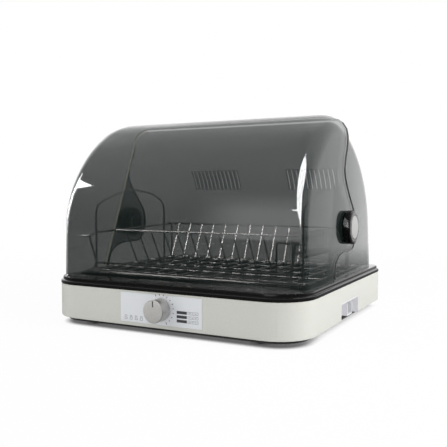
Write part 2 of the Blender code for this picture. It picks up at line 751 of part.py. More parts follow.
def seam_outline():
    """Rear edge of the lid in side view, from the foot over the lobe to the crest."""
    crest_y = PIVOT_Y + SEAM_CREST_BACK
    lobe = []
    for step in range(SEAM_STEPS + 1):
        angle = LOBE_BOTTOM_ANGLE + (LOBE_TOP_ANGLE - LOBE_BOTTOM_ANGLE) * step / SEAM_STEPS
        lobe.append((PIVOT_Y + LOBE_RADIUS * math.cos(angle), PIVOT_Z + LOBE_RADIUS * math.sin(angle)))
    return smooth_curve(
        [
            (SEAM_FOOT_Y, LID_BOTTOM - OVERCUT),
            (PIVOT_Y - SEAM_SHIN_REACH, LID_BOTTOM + SEAM_SHIN_RISE),
            (PIVOT_Y - SEAM_KNEE_REACH, LID_BOTTOM + SEAM_KNEE_RISE),
            (PIVOT_Y - SEAM_CALF_REACH, LID_BOTTOM + SEAM_CALF_RISE),
            *lobe,
            (PIVOT_Y + SEAM_SHOULDER_BACK, PIVOT_Z + SEAM_SHOULDER_RISE),
            (PIVOT_Y - SEAM_WAIST_REACH, PIVOT_Z + SEAM_WAIST_RISE),
            (PIVOT_Y - SEAM_NECK_REACH, LID_TOP - SEAM_NECK_DROP),
            (PIVOT_Y + SEAM_THROAT_BACK, LID_TOP - SEAM_THROAT_DROP),
            (crest_y, LID_TOP - SEAM_CREST_DROP),
            (crest_y + OVERCUT, LID_TOP + OVERCUT),
        ],
        SEAM_STEPS,
    )


def wall_x(half_width, draft_share, z):
    return half_width - draft_share * (z - LID_BOTTOM)


# Base
def build_housing(mat):
    inner = body_outline(BODY_WALL)
    lip = body_outline(LIP_WIDTH)
    edge = BODY_EDGE_ROUND * ROUND_SHARE
    rings = [
        at_height(lip, BODY_BOTTOM),
        at_height(body_outline(BODY_EDGE_ROUND), BODY_BOTTOM),
        at_height(body_outline(edge), BODY_BOTTOM + edge),
        at_height(body_outline(0.0), BODY_BOTTOM + BODY_EDGE_ROUND),
        at_height(body_outline(0.0), BODY_TOP),
        at_height(inner, BODY_TOP),
        at_height(inner, BODY_BOTTOM + LIP_THICKNESS),
        at_height(lip, BODY_BOTTOM + LIP_THICKNESS),
    ]
    count = len(inner)
    verts = [p for ring in rings for p in ring]
    faces = []
    for level in range(len(rings)):
        low = level * count
        high = ((level + 1) % len(rings)) * count
        for i in range(count):
            j = (i + 1) % count
            faces.append((low + i, low + j, high + j, high + i))
    ob = make_object("base_housing", verts, faces, mat)
    low_z = PAN_TOP + GAP
    bosses = []
    for side in (-1.0, 1.0):
        for y, end in ((BOSS_FRONT_Y, -1.0), (BOSS_REAR_Y, 1.0)):
            x = side * BOSS_X
            column = [(BOSS_RADIUS, low_z), (BOSS_RADIUS, BOSS_TOP)]
            bosses.append(turned(column, (x, y, 0.0), (0.0, 0.0, 1.0), SMALL_ROUND_STEPS))
            wall_y = end * (REAR_Y - BODY_WALL / 2)
            rib_low = (x - RIB_WIDTH / 2, min(y, wall_y), low_z + RIB_WIDTH)
            rib_high = (x + RIB_WIDTH / 2, max(y, wall_y), RIB_TOP)
            join(ob, box(rib_low, rib_high), f"rib_{int(side)}_{int(end)}")
    for i, boss in enumerate(bosses):
        join(ob, boss, f"boss_{i}")
    bores = []
    for side in (-1.0, 1.0):
        for y in (BOSS_FRONT_Y, BOSS_REAR_Y):
            bore = [(SCREW_RADIUS + GAP, BODY_BOTTOM), (SCREW_RADIUS + GAP, SCREW_TOP + SCREW_SPARE)]
            bores.append(turned(bore, (side * BOSS_X, y, 0.0), (0.0, 0.0, 1.0), SMALL_ROUND_STEPS))
    cut(ob, merge(bores), "screw_bores")
    cut(ob, panel_recess(), "plate_recess")
    hole = [(TIMER_COLLAR_RADIUS + GAP, -OVERCUT), (TIMER_COLLAR_RADIUS + GAP, OVERCUT)]
    shaft_hole = turned(hole, (KNOB_X, FRONT_Y, KNOB_HEIGHT), (0.0, 1.0, 0.0), SMALL_ROUND_STEPS)
    cut(ob, shaft_hole, "shaft_hole")
    notch_low = (SIDE_X - LIP_WIDTH - OVERCUT, NOTCH_FRONT_Y - GAP, BODY_BOTTOM - OVERCUT)
    notch_high = (SIDE_X + OVERCUT, NOTCH_REAR_Y + GAP, NOTCH_TOP + GAP)
    cut(ob, box(notch_low, notch_high), "side_opening")
    hole = [(GLAND_RADIUS + GAP, -OVERCUT), (GLAND_RADIUS + GAP, OVERCUT)]
    gland_hole = turned(hole, (GLAND_X, REAR_Y, GLAND_Z), (0.0, 1.0, 0.0), SMALL_ROUND_STEPS)
    cut(ob, gland_hole, "gland_hole")
    return ob


def panel_recess():
    low = (-PLATE_WIDTH / 2 - GAP, FRONT_Y - OVERCUT, PLATE_BOTTOM - GAP)
    high = (PLATE_WIDTH / 2 + GAP, FRONT_Y + PLATE_SINK + GAP, PLATE_TOP + GAP)
    return box(low, high)


def build_pan(mat):
    outer = body_outline(PAN_INSET)
    inner = body_outline(PAN_INSET + PAN_WALL)
    rings = [
        at_height(inner, PAN_BOTTOM),
        at_height(outer, PAN_BOTTOM + PAN_WALL / 2),
        at_height(outer, PAN_TOP),
        at_height(inner, PAN_TOP),
        at_height(inner, PAN_FLOOR_TOP),
    ]
    verts, faces = ring_solid(rings)
    ob = make_object("bottom_pan", verts, faces, mat)
    columns = []
    pockets = []
    for side in (-1.0, 1.0):
        for y in (BOSS_FRONT_Y, BOSS_REAR_Y):
            column = [(BOSS_RADIUS, PAN_FLOOR_TOP - PAN_FLOOR / 2), (BOSS_RADIUS, PAN_TOP)]
            columns.append(turned(column, (side * BOSS_X, y, 0.0), (0.0, 0.0, 1.0), SMALL_ROUND_STEPS))
            pocket = [
                (SCREW_POCKET_RADIUS, PAN_BOTTOM - OVERCUT),
                (SCREW_POCKET_RADIUS, PAN_BOTTOM + SCREW_POCKET_DEPTH),
                (SCREW_RADIUS + GAP, PAN_BOTTOM + SCREW_POCKET_DEPTH),
                (SCREW_RADIUS + GAP, PAN_TOP + OVERCUT),
            ]
            pockets.append(turned(pocket, (side * BOSS_X, y, 0.0), (0.0, 0.0, 1.0), SMALL_ROUND_STEPS))
    join(ob, merge(columns), "screw_columns")
    cut(ob, merge(pockets), "screw_pockets")
    slots = []
    for i in range(INTAKE_SLOT_COUNT):
        x = BLOWER_X + (i - (INTAKE_SLOT_COUNT - 1) / 2) * INTAKE_SLOT_PITCH
        centre = (x, BLOWER_Y, PAN_BOTTOM)
        slots.append(centred_box(centre, (INTAKE_SLOT_WIDTH, INTAKE_SLOT_LENGTH, OVERCUT)))
    cut(ob, merge(slots), "intake_slots")
    low = (SIDE_X - PAN_INSET - LINER_DEPTH, NOTCH_FRONT_Y - LINER_WALL, PAN_FLOOR_TOP)
    high = (SIDE_X, NOTCH_REAR_Y + LINER_WALL, PAN_TOP + OVERCUT)
    cut(ob, box(low, high), "side_relief")
    return ob


def build_feet(mat):
    profile = [
        (FOOT_RADIUS - FOOT_EDGE, 0.0),
        (FOOT_RADIUS, FOOT_EDGE),
        (FOOT_RADIUS, FOOT_HEIGHT),
    ]
    for name, side, y in (
        ("foot_front_left", -1.0, FOOT_FRONT_Y),
        ("foot_front_right", 1.0, FOOT_FRONT_Y),
        ("foot_rear_left", -1.0, FOOT_REAR_Y),
        ("foot_rear_right", 1.0, FOOT_REAR_Y),
    ):
        verts, faces = turned(profile, (side * FOOT_X, y, 0.0), (0.0, 0.0, 1.0), SMALL_ROUND_STEPS)
        make_object(name, verts, faces, mat)


def build_base_screws(mat):
    top = PAN_BOTTOM + SCREW_POCKET_DEPTH - GAP
    profile = [
        (SCREW_HEAD_RADIUS, top - SCREW_HEAD_HEIGHT),
        (SCREW_HEAD_RADIUS, top),
        (SCREW_RADIUS, top),
        (SCREW_RADIUS, SCREW_TOP),
    ]
    for name, side, y in (
        ("base_screw_front_left", -1.0, BOSS_FRONT_Y),
        ("base_screw_front_right", 1.0, BOSS_FRONT_Y),
        ("base_screw_rear_left", -1.0, BOSS_REAR_Y),
        ("base_screw_rear_right", 1.0, BOSS_REAR_Y),
    ):
        verts, faces = turned(profile, (side * BOSS_X, y, 0.0), (0.0, 0.0, 1.0), SMALL_ROUND_STEPS)
        make_object(name, verts, faces, mat)


def basin(grow, z):
    return at_height(
        outline(
            BASIN_X + grow,
            BASIN_FRONT_Y - grow,
            BASIN_REAR_Y + grow,
            BASIN_RADIUS + grow,
            BASIN_RADIUS + grow,
        ),
        z,
    )


def build_deck(mat):
    wall = DECK_THICKNESS
    rings = [
        basin(wall - BASIN_DRAFT, DECK_FLOOR_UNDER),
        basin(wall, DECK_UNDER),
        at_height(body_outline(STEP_INSET + BODY_WALL), DECK_UNDER),
        at_height(body_outline(BODY_WALL), STEP_BOTTOM - wall),
        at_height(body_outline(BODY_WALL), DECK_SEAT),
        at_height(body_outline(-DECK_OVERHANG / 2), DECK_SEAT),
        at_height(body_outline(-DECK_OVERHANG), DECK_SEAT + STEP_EDGE),
        at_height(body_outline(-DECK_OVERHANG), BEAD_TOP - STEP_EDGE),
        at_height(body_outline(GROOVE_DEPTH), BEAD_TOP),
        at_height(body_outline(STEP_INSET), STEP_BOTTOM),
        at_height(body_outline(STEP_INSET), DECK_TOP - STEP_EDGE),
        at_height(body_outline(STEP_INSET + GROOVE_DEPTH), DECK_TOP - GROOVE_DEPTH / 2),
        at_height(body_outline(STEP_INSET + STEP_EDGE + GROOVE_DEPTH), DECK_TOP),
        basin(0.0, DECK_TOP),
        basin(-BASIN_DRAFT, DECK_FLOOR),
    ]
    verts, faces = ring_solid(rings)
    ob = make_object("deck", verts, faces, mat)
    centre = (OUTLET_X, OUTLET_Y, DECK_FLOOR)
    cut(ob, centred_box(centre, (OUTLET_LENGTH_X, OUTLET_LENGTH_Y, OVERCUT)), "air_opening")
    drain = [(DRAIN_RADIUS, DECK_FLOOR_UNDER - OVERCUT), (DRAIN_RADIUS, DECK_FLOOR + OVERCUT)]
    cut(ob, turned(drain, (DRAIN_X, DRAIN_Y, 0.0), (0.0, 0.0, 1.0), SMALL_ROUND_STEPS), "drain_hole")
    pilots = []
    for x, y in cover_screw_places():
        pilot = [(SCREW_RADIUS + GAP, DECK_UNDER - OVERCUT), (SCREW_RADIUS + GAP, DECK_TOP + OVERCUT)]
        pilots.append(turned(pilot, (x, y, 0.0), (0.0, 0.0, 1.0), SMALL_ROUND_STEPS))
    cut(ob, merge(pilots), "cover_pilots")
    return ob


def build_tray(mat):
    lower = DECK_TOP + GAP
    upper = lower + TRAY_THICKNESS

    def flange(z):
        return at_height(
            outline(
                TRAY_FLANGE_X,
                TRAY_FLANGE_FRONT_Y,
                TRAY_FLANGE_REAR_Y,
                TRAY_FLANGE_RADIUS,
                TRAY_FLANGE_RADIUS,
            ),
            z,
        )

    def hollow(grow, z):
        front_y = TRAY_FRONT_Y - grow
        rear_y = TRAY_REAR_Y + grow
        return at_height(outline(TRAY_X + grow, front_y, rear_y, TRAY_RADIUS, TRAY_RADIUS), z)

    rings = [
        hollow(TRAY_THICKNESS - BASIN_DRAFT, TRAY_FLOOR - TRAY_THICKNESS),
        hollow(TRAY_THICKNESS, lower),
        flange(lower),
        flange(upper),
        hollow(0.0, upper),
        hollow(-BASIN_DRAFT, TRAY_FLOOR),
    ]
    verts, faces = ring_solid(rings)
    ob = make_object("drip_tray", verts, faces, mat)
    length_x = OUTLET_LENGTH_X + OUTLET_RIM
    length_y = OUTLET_LENGTH_Y + OUTLET_RIM
    size = (length_x + OUTLET_RIM, length_y + OUTLET_RIM, GRILLE_RISE)
    hood_centre = (OUTLET_X, OUTLET_Y, TRAY_FLOOR + GRILLE_RISE / 2 - TRAY_THICKNESS)
    join(ob, centred_box(hood_centre, size), "outlet_collar")
    hole = (length_x, length_y, 2.0 * GRILLE_RISE + OVERCUT)
    cut(ob, centred_box((OUTLET_X, OUTLET_Y, TRAY_FLOOR), hole), "outlet_hole")
    drain = [(TRAY_SPOUT_RADIUS, TRAY_FLOOR - OVERCUT), (TRAY_SPOUT_RADIUS, TRAY_FLOOR + OVERCUT)]
    cut(ob, turned(drain, (DRAIN_X, DRAIN_Y, 0.0), (0.0, 0.0, 1.0), SMALL_ROUND_STEPS), "drain_hole")
    return ob


def build_grille(mat):
    low_z = DECK_FLOOR + GAP
    size_x = OUTLET_LENGTH_X + OUTLET_RIM - 2.0 * GAP
    size_y = OUTLET_LENGTH_Y + OUTLET_RIM - 2.0 * GAP
    low = (OUTLET_X - size_x / 2, OUTLET_Y - size_y / 2, low_z)
    high = (OUTLET_X + size_x / 2, OUTLET_Y + size_y / 2, GRILLE_TOP)
    verts, faces = box(low, high)
    ob = make_object("air_outlet_grille", verts, faces, mat)
    inner_low = (low[0] + GRILLE_WALL, low[1] + GRILLE_WALL, low_z - OVERCUT)
    inner_high = (high[0] - GRILLE_WALL, high[1] - GRILLE_WALL, GRILLE_TOP - GRILLE_PLATE)
    cut(ob, box(inner_low, inner_high), "hollow")
    pitch = (size_y - 2.0 * OUTLET_RIM) / GRILLE_SLOT_COUNT
    slots = []
    for i in range(GRILLE_SLOT_COUNT):
        y = OUTLET_Y + (i - (GRILLE_SLOT_COUNT - 1) / 2) * pitch
        size = (size_x - 2.0 * OUTLET_RIM, pitch * (1.0 - GRILLE_BAR_SHARE), OVERCUT)
        slots.append(centred_box((OUTLET_X, y, GRILLE_TOP), size))
    cut(ob, merge(slots), "slots")
    return ob


# Controls
def build_controls(plate_mat, metal, dark, plastic):
    front = FRONT_Y - PLATE_PROUD
    low = (-PLATE_WIDTH / 2, front, PLATE_BOTTOM)
    high = (PLATE_WIDTH / 2, front + PLATE_THICKNESS, PLATE_TOP)
    verts, faces = box(low, high)
    plate = make_object("control_plate", verts, faces, plate_mat)
    hole = [(SHAFT_RADIUS + GAP, -OVERCUT), (SHAFT_RADIUS + GAP, OVERCUT)]
    axis = (0.0, 1.0, 0.0)
    centre = (KNOB_X, front, KNOB_HEIGHT)
    cut(plate, turned(hole, centre, axis, SMALL_ROUND_STEPS), "shaft_hole")

    back = front - KNOB_STANDOFF
    face = back - KNOB_DEPTH
    profile = [
        (KNOB_RADIUS - KNOB_BEVEL, 0.0),
        (KNOB_RADIUS, KNOB_BEVEL),
        (KNOB_SKIRT_RADIUS, KNOB_DEPTH),
    ]
    verts, faces = turned(profile, (KNOB_X, face, KNOB_HEIGHT), axis)
    knob = make_object("timer_knob", verts, faces, metal, (KNOB_X, face, KNOB_HEIGHT))
    loose = SHAFT_RADIUS + GAP
    bore = [(loose, KNOB_DEPTH - KNOB_BORE_DEPTH), (loose, KNOB_DEPTH + OVERCUT)]
    cut(knob, turned(bore, (KNOB_X, face, KNOB_HEIGHT), axis, SMALL_ROUND_STEPS), "bore")
    index_z = KNOB_HEIGHT + KNOB_RADIUS - KNOB_BEVEL - INDEX_LENGTH / 2 - INDEX_DEPTH
    groove_size = (INDEX_WIDTH + 2.0 * GAP, 2.0 * INDEX_DEPTH, INDEX_LENGTH + 2.0 * GAP)
    cut(knob, centred_box((KNOB_X, face, index_z), groove_size), "index_groove")
    index_centre = (KNOB_X, face + INDEX_DEPTH / 2 - GAP, index_z)
    verts, faces = centred_box(index_centre, (INDEX_WIDTH, INDEX_DEPTH, INDEX_LENGTH))
    make_object("knob_index", verts, faces, dark, (KNOB_X, face, KNOB_HEIGHT))

    shaft_start = back - KNOB_BORE_DEPTH + KNOB_BORE_SPARE
    shaft_end = FRONT_Y + BODY_WALL + TIMER_DEPTH / 2
    profile = [(SHAFT_RADIUS, 0.0), (SHAFT_RADIUS, shaft_end - shaft_start)]
    verts, faces = turned(profile, (KNOB_X, shaft_start, KNOB_HEIGHT), axis, SMALL_ROUND_STEPS)
    make_object("timer_shaft", verts, faces, metal, (KNOB_X, shaft_start, KNOB_HEIGHT))

    body_front = FRONT_Y + BODY_WALL + GAP
    low = (KNOB_X - TIMER_WIDTH / 2, body_front, TIMER_BOTTOM)
    high = (KNOB_X + TIMER_WIDTH / 2, body_front + TIMER_DEPTH, TIMER_TOP)
    verts, faces = box(low, high)
    timer = make_object("timer_body", verts, faces, plastic)
    collar_length = BODY_WALL - PLATE_SINK
    collar = [(TIMER_COLLAR_RADIUS, -collar_length), (TIMER_COLLAR_RADIUS, TIMER_EDGE)]
    join(timer, turned(collar, (KNOB_X, body_front, KNOB_HEIGHT), axis, SMALL_ROUND_STEPS), "collar")
    bore = [(SHAFT_RADIUS + GAP, -OVERCUT), (SHAFT_RADIUS + GAP, TIMER_DEPTH / 2 + GAP)]
    cut(timer, turned(bore, (KNOB_X, body_front, KNOB_HEIGHT), axis, SMALL_ROUND_STEPS), "bore")


# Dome
def build_lid(mat):
    verts, faces = dome_block(
        LID_HALF_WIDTH,
        LID_HALF_DEPTH,
        LID_TOP,
        LID_BOTTOM,
        LID_DRAFT_SHARE,
        LID_TOP_FILLET,
        LID_CORNER_FILLET,
    )
    pivot = (0.0, PIVOT_Y, PIVOT_Z)
    ob = make_object("front_lid", verts, faces, mat, pivot)
    hollow = dome_block(
        LID_HALF_WIDTH - LID_THICKNESS,
        LID_HALF_DEPTH - LID_THICKNESS,
        LID_TOP - LID_THICKNESS,
        LID_BOTTOM - OVERCUT,
        LID_DRAFT_SHARE,
        LID_TOP_FILLET - LID_THICKNESS,
        LID_CORNER_FILLET - LID_THICKNESS,
    )
    cut(ob, hollow, "hollow")
    seam = seam_outline()
    far_y = LID_HALF_DEPTH + OVERCUT
    profile = [
        (far_y, LID_BOTTOM - OVERCUT),
        (far_y, LID_TOP + OVERCUT),
        *seam[::-1],
    ]
    cut(ob, extruded_x(profile, -SIDE_X, SIDE_X), "rear_edge")
    hole = [(HINGE_HOLE_RADIUS, -SIDE_X), (HINGE_HOLE_RADIUS, SIDE_X)]
    cut(ob, turned(hole, pivot, (1.0, 0.0, 0.0), SMALL_ROUND_STEPS), "hinge_holes")
    return ob


def build_cover(mat):
    verts, faces = dome_block(
        COVER_HALF_WIDTH,
        COVER_HALF_DEPTH,
        COVER_TOP,
        LID_BOTTOM,
        COVER_DRAFT_SHARE,
        COVER_TOP_FILLET,
        LID_CORNER_FILLET,
    )
    ob = make_object("rear_cover", verts, faces, mat)
    hollow = dome_block(
        COVER_HALF_WIDTH - COVER_THICKNESS,
        COVER_HALF_DEPTH - COVER_THICKNESS,
        COVER_TOP - COVER_THICKNESS,
        LID_BOTTOM - OVERCUT,
        COVER_DRAFT_SHARE,
        COVER_TOP_FILLET - COVER_THICKNESS,
        LID_CORNER_FILLET - COVER_THICKNESS,
    )
    cut(ob, hollow, "hollow")
    top_z = COVER_TOP + OVERCUT
    low_z = LID_BOTTOM - OVERCUT
    top_y = COVER_EDGE_FOOT_Y + COVER_EDGE_SLOPE_SHARE * (top_z - LID_BOTTOM)
    low_y = COVER_EDGE_FOOT_Y - COVER_EDGE_SLOPE_SHARE * OVERCUT
    far_y = -COVER_HALF_DEPTH - OVERCUT
    profile = [(low_y, low_z), (top_y, top_z), (far_y, top_z), (far_y, low_z)]
    cut(ob, extruded_x(profile, -SIDE_X, SIDE_X), "front_edge")
    pivot = (0.0, PIVOT_Y, PIVOT_Z)
    hole = [(HINGE_HOLE_RADIUS, -SIDE_X), (HINGE_HOLE_RADIUS, SIDE_X)]
    cut(ob, turned(hole, pivot, (1.0, 0.0, 0.0), SMALL_ROUND_STEPS), "hinge_holes")
    slots = []
    for first in (LOUVRE_LEFT_X, LOUVRE_RIGHT_X):
        for i in range(LOUVRE_COUNT):
            x = first + i * LOUVRE_PITCH
            low = (x, COVER_HALF_DEPTH / 2, LOUVRE_BOTTOM)
            slots.append(box(low, (x + LOUVRE_WIDTH, COVER_HALF_DEPTH + OVERCUT, LOUVRE_TOP)))
    cut(ob, merge(slots), "louvres")
    return ob


def cover_screw_places():
    inner_rear = COVER_HALF_DEPTH - COVER_THICKNESS - COVER_TAB_LENGTH / 2
    return [(side * COVER_TAB_X, inner_rear) for side in (-1.0, 1.0)]


def build_cover_tabs(cover, mat):
    tabs = []
    holes = []
    tab_top = LID_BOTTOM + COVER_TAB_HEIGHT
    for x, y in cover_screw_places():
        low = (x - COVER_TAB_WIDTH / 2, y - COVER_TAB_LENGTH / 2, LID_BOTTOM)
        high = (x + COVER_TAB_WIDTH / 2, COVER_HALF_DEPTH - COVER_THICKNESS / 2, tab_top)
        tabs.append(box(low, high))
        hole = [(SCREW_RADIUS + GAP, DECK_TOP - OVERCUT), (SCREW_RADIUS + GAP, DECK_TOP + OVERCUT)]
        holes.append(turned(hole, (x, y, 0.0), (0.0, 0.0, 1.0), SMALL_ROUND_STEPS))
    join(cover, merge(tabs), "screw_tabs")
    cut(cover, merge(holes), "tab_holes")
    base = tab_top + GAP
    profile = [
        (SCREW_RADIUS, base - TAB_SCREW_DEPTH),
        (SCREW_RADIUS, base),
        (SCREW_HEAD_RADIUS, base),
        (SCREW_HEAD_RADIUS, base + SCREW_HEAD_HEIGHT / 2),
        (SCREW_HEAD_RADIUS / 2, base + SCREW_HEAD_HEIGHT),
    ]
    for name, (x, y) in zip(("cover_screw_left", "cover_screw_right"), cover_screw_places()):
        verts, faces = turned(profile, (x, y, 0.0), (0.0, 0.0, 1.0), SMALL_ROUND_STEPS)
        make_object(name, verts, faces, mat)


def build_hinge(black, silver, pin_mat):
    lid_x = wall_x(LID_HALF_WIDTH, LID_DRAFT_SHARE, PIVOT_Z - HINGE_KNOB_RADIUS)
    lid_inner = wall_x(LID_HALF_WIDTH - LID_THICKNESS, LID_DRAFT_SHARE, PIVOT_Z + HINGE_KNOB_RADIUS)
    cover_x = wall_x(COVER_HALF_WIDTH, COVER_DRAFT_SHARE, PIVOT_Z - HINGE_KNOB_RADIUS)
    head_rise = PIVOT_Z + HINGE_PIN_HEAD_RADIUS
    cover_inner = wall_x(COVER_HALF_WIDTH - COVER_THICKNESS, COVER_DRAFT_SHARE, head_rise)
    for name, side in (("left", -1.0), ("right", 1.0)):
        axis = (side, 0.0, 0.0)
        start = lid_x + GAP
        origin = (side * start, PIVOT_Y, PIVOT_Z)
        edge = HINGE_KNOB_EDGE * ROUND_SHARE
        profile = [
            (HINGE_KNOB_RADIUS, 0.0),
            (HINGE_KNOB_RADIUS, HINGE_KNOB_PROUD - HINGE_KNOB_EDGE),
            (HINGE_KNOB_RADIUS - edge, HINGE_KNOB_PROUD - edge),
            (HINGE_KNOB_RADIUS - HINGE_KNOB_EDGE, HINGE_KNOB_PROUD),
        ]
        verts, faces = turned(profile, origin, axis)
        knob = make_object(f"hinge_knob_{name}", verts, faces, black, origin)
        bore = [(HINGE_HOLE_RADIUS, -OVERCUT), (HINGE_HOLE_RADIUS, HINGE_KNOB_BORE)]
        cut(knob, turned(bore, origin, axis, SMALL_ROUND_STEPS), "pin_bore")
        seat = HINGE_KNOB_PROUD - HINGE_CAP_SINK
        pocket = [(HINGE_CAP_RADIUS + GAP, seat), (HINGE_CAP_RADIUS + GAP, seat + OVERCUT)]
        cut(knob, turned(pocket, origin, axis), "cap_seat")
        profile = [
            (HINGE_CAP_RADIUS, seat + GAP),
            (HINGE_CAP_RADIUS, seat + HINGE_CAP_THICKNESS - HINGE_PIN_EDGE),
            (HINGE_CAP_RADIUS - HINGE_PIN_EDGE, seat + HINGE_CAP_THICKNESS),
        ]
        verts, faces = turned(profile, origin, axis)
        make_object(f"hinge_cap_{name}", verts, faces, silver, origin)

        centre = (side * (cover_x + GAP), PIVOT_Y, PIVOT_Z)
        thickness = lid_inner - cover_x - 2 * GAP
        rim = HINGE_KNOB_RADIUS - HINGE_SPACER_EDGE
        profile = [
            (rim, 0.0),
            (HINGE_KNOB_RADIUS, HINGE_SPACER_EDGE),
            (HINGE_KNOB_RADIUS, thickness - HINGE_SPACER_EDGE),
            (rim, thickness),
        ]
        verts, faces = turned(profile, centre, axis)
        spacer = make_object(f"hinge_spacer_{name}", verts, faces, black, centre)
        bore = [(HINGE_HOLE_RADIUS, -OVERCUT), (HINGE_HOLE_RADIUS, OVERCUT)]
        cut(spacer, turned(bore, centre, axis, SMALL_ROUND_STEPS), "spacer_bore")

        head_x = cover_inner - GAP - HINGE_PIN_HEAD
        pin_length = start + HINGE_KNOB_BORE - GAP - head_x
        profile = [
            (HINGE_PIN_HEAD_RADIUS - HINGE_PIN_EDGE, 0.0),
            (HINGE_PIN_HEAD_RADIUS, HINGE_PIN_EDGE),
            (HINGE_PIN_HEAD_RADIUS, HINGE_PIN_HEAD),
            (HINGE_PIN_RADIUS, HINGE_PIN_HEAD),
            (HINGE_PIN_RADIUS, pin_length - HINGE_PIN_EDGE),
            (HINGE_PIN_RADIUS - HINGE_PIN_EDGE, pin_length),
        ]
        verts, faces = turned(profile, (side * head_x, PIVOT_Y, PIVOT_Z), axis, SMALL_ROUND_STEPS)
        make_object(f"hinge_pin_{name}", verts, faces, pin_mat)


# Side recess
def build_side_recess(liner_mat, spout_mat):
    deep_x = SIDE_X - BODY_WALL - LINER_DEPTH
    low = (deep_x, NOTCH_FRONT_Y, BODY_BOTTOM)
    high = (SIDE_X, NOTCH_REAR_Y, NOTCH_TOP)
    verts, faces = box(low, high)
    liner = make_object("side_recess_liner", verts, faces, liner_mat)
    inner_low = (deep_x + LINER_WALL, NOTCH_FRONT_Y + LINER_WALL, BODY_BOTTOM - OVERCUT)
    inner_high = (SIDE_X + OVERCUT, NOTCH_REAR_Y - LINER_WALL, NOTCH_TOP - LINER_WALL)
    cut(liner, box(inner_low, inner_high), "hollow")
    half = SPOUT_WIDTH / 2
    hole_half = half + SPOUT_CLEARANCE
    low = (deep_x - OVERCUT, NOTCH_Y - hole_half, SPOUT_BOTTOM - SPOUT_CLEARANCE)
    high = (deep_x + OVERCUT, NOTCH_Y + hole_half, SPOUT_TOP + SPOUT_CLEARANCE)
    cut(liner, box(low, high), "spout_hole")

    tip_x = SIDE_X - SPOUT_RECESS
    start_x = tip_x - SPOUT_LENGTH
    low = (start_x, NOTCH_Y - half, SPOUT_BOTTOM)
    high = (tip_x, NOTCH_Y + half, SPOUT_TOP)
    origin = (start_x, NOTCH_Y, SPOUT_BOTTOM)
    verts, faces = box(low, high)
    spout = make_object("water_spout", verts, faces, spout_mat, origin)
    low = (start_x + SPOUT_WALL, NOTCH_Y - half + SPOUT_WALL, SPOUT_BOTTOM + SPOUT_WALL)
    high = (tip_x + OVERCUT, NOTCH_Y + half - SPOUT_WALL, SPOUT_TOP + OVERCUT)
    cut(spout, box(low, high), "channel")


# Rack
def build_rack_grid(mat):
    loop = [
        (RACK_X, RACK_FRONT_Y, RACK_Z),
        (RACK_X, RACK_REAR_Y, RACK_Z),
        (-RACK_X, RACK_REAR_Y, RACK_Z),
        (-RACK_X, RACK_FRONT_Y, RACK_Z),
    ]
    verts, faces = wire(loop, RACK_FRAME_WIRE, WIRE_SIDES, True, RACK_RADIUS)
    ob = make_object("rack_grid", verts, faces, mat)
    long_wires = []
    for i in range(LONG_WIRE_COUNT):
        y = LONG_FIRST_Y + i * LONG_PITCH
        long_wires.append(wire([(-RACK_X, y, RACK_Z), (RACK_X, y, RACK_Z)], RACK_THIN_WIRE))
    join(ob, merge(long_wires), "long_wires")
    cross_wires = []
    for i in range(CROSS_COUNT):
        x = (i - (CROSS_COUNT - 1) / 2) * CROSS_PITCH + GAP / 2
        ends = [(x, RACK_FRONT_Y, CROSS_Z), (x, RACK_REAR_Y, CROSS_Z)]
        cross_wires.append(wire(ends, RACK_THIN_WIRE, THIN_SIDES))
    join(ob, merge(cross_wires), "cross_wires")


def build_rack_rails(mat):
    rear = [(-RAIL_END_X, REAR_RAIL_Y, REAR_RAIL_Z), (RAIL_END_X, REAR_RAIL_Y, REAR_RAIL_Z)]
    low_x = LOW_RAIL_X - RACK_FRAME_WIRE - GAP
    low = [(-low_x, LOW_RAIL_Y, LOW_RAIL_Z), (low_x, LOW_RAIL_Y, LOW_RAIL_Z)]
    front = [(-RAIL_END_X, FRONT_RAIL_Y, FRONT_RAIL_Z), (RAIL_END_X, FRONT_RAIL_Y, FRONT_RAIL_Z)]
    for name, path in (("rear", rear), ("front", front), ("low", low)):
        verts, faces = wire(path, RACK_RAIL_WIRE)
        make_object(f"rack_{name}_rail", verts, faces, mat)


def build_rack_ends(mat):
    corner = (RACK_FRONT_Y, CORNER_Z)
    for name, side in (("left", -1.0), ("right", 1.0)):
        path = [
            (side * RAIL_X, REAR_RAIL_Y, LONG_SEAT),
            (side * RAIL_X, REAR_RAIL_Y, REAR_RAIL_Z),
            (side * RAIL_X, FRONT_RAIL_Y, FRONT_RAIL_Z),
            (side * RAIL_X, END_SHOULDER_Y, END_SHOULDER_Z),
            (side * RAIL_X, *corner),
            (side * LOW_RAIL_X, LOW_RAIL_Y, LOW_RAIL_Z),
            (side * LOW_RAIL_X, RACK_FRONT_Y, CROSS_SEAT + RACK_FRAME_WIRE),
        ]
        verts, faces = wire(path, RACK_FRAME_WIRE)
        end = make_object(f"rack_end_{name}", verts, faces, mat)
        hook = [(side * (RAIL_X - WIRE_BITE), *corner), (side * (RAIL_X + HOOK_REACH), *corner)]
        join(end, wire(hook, RACK_RAIL_WIRE), "corner_hook")


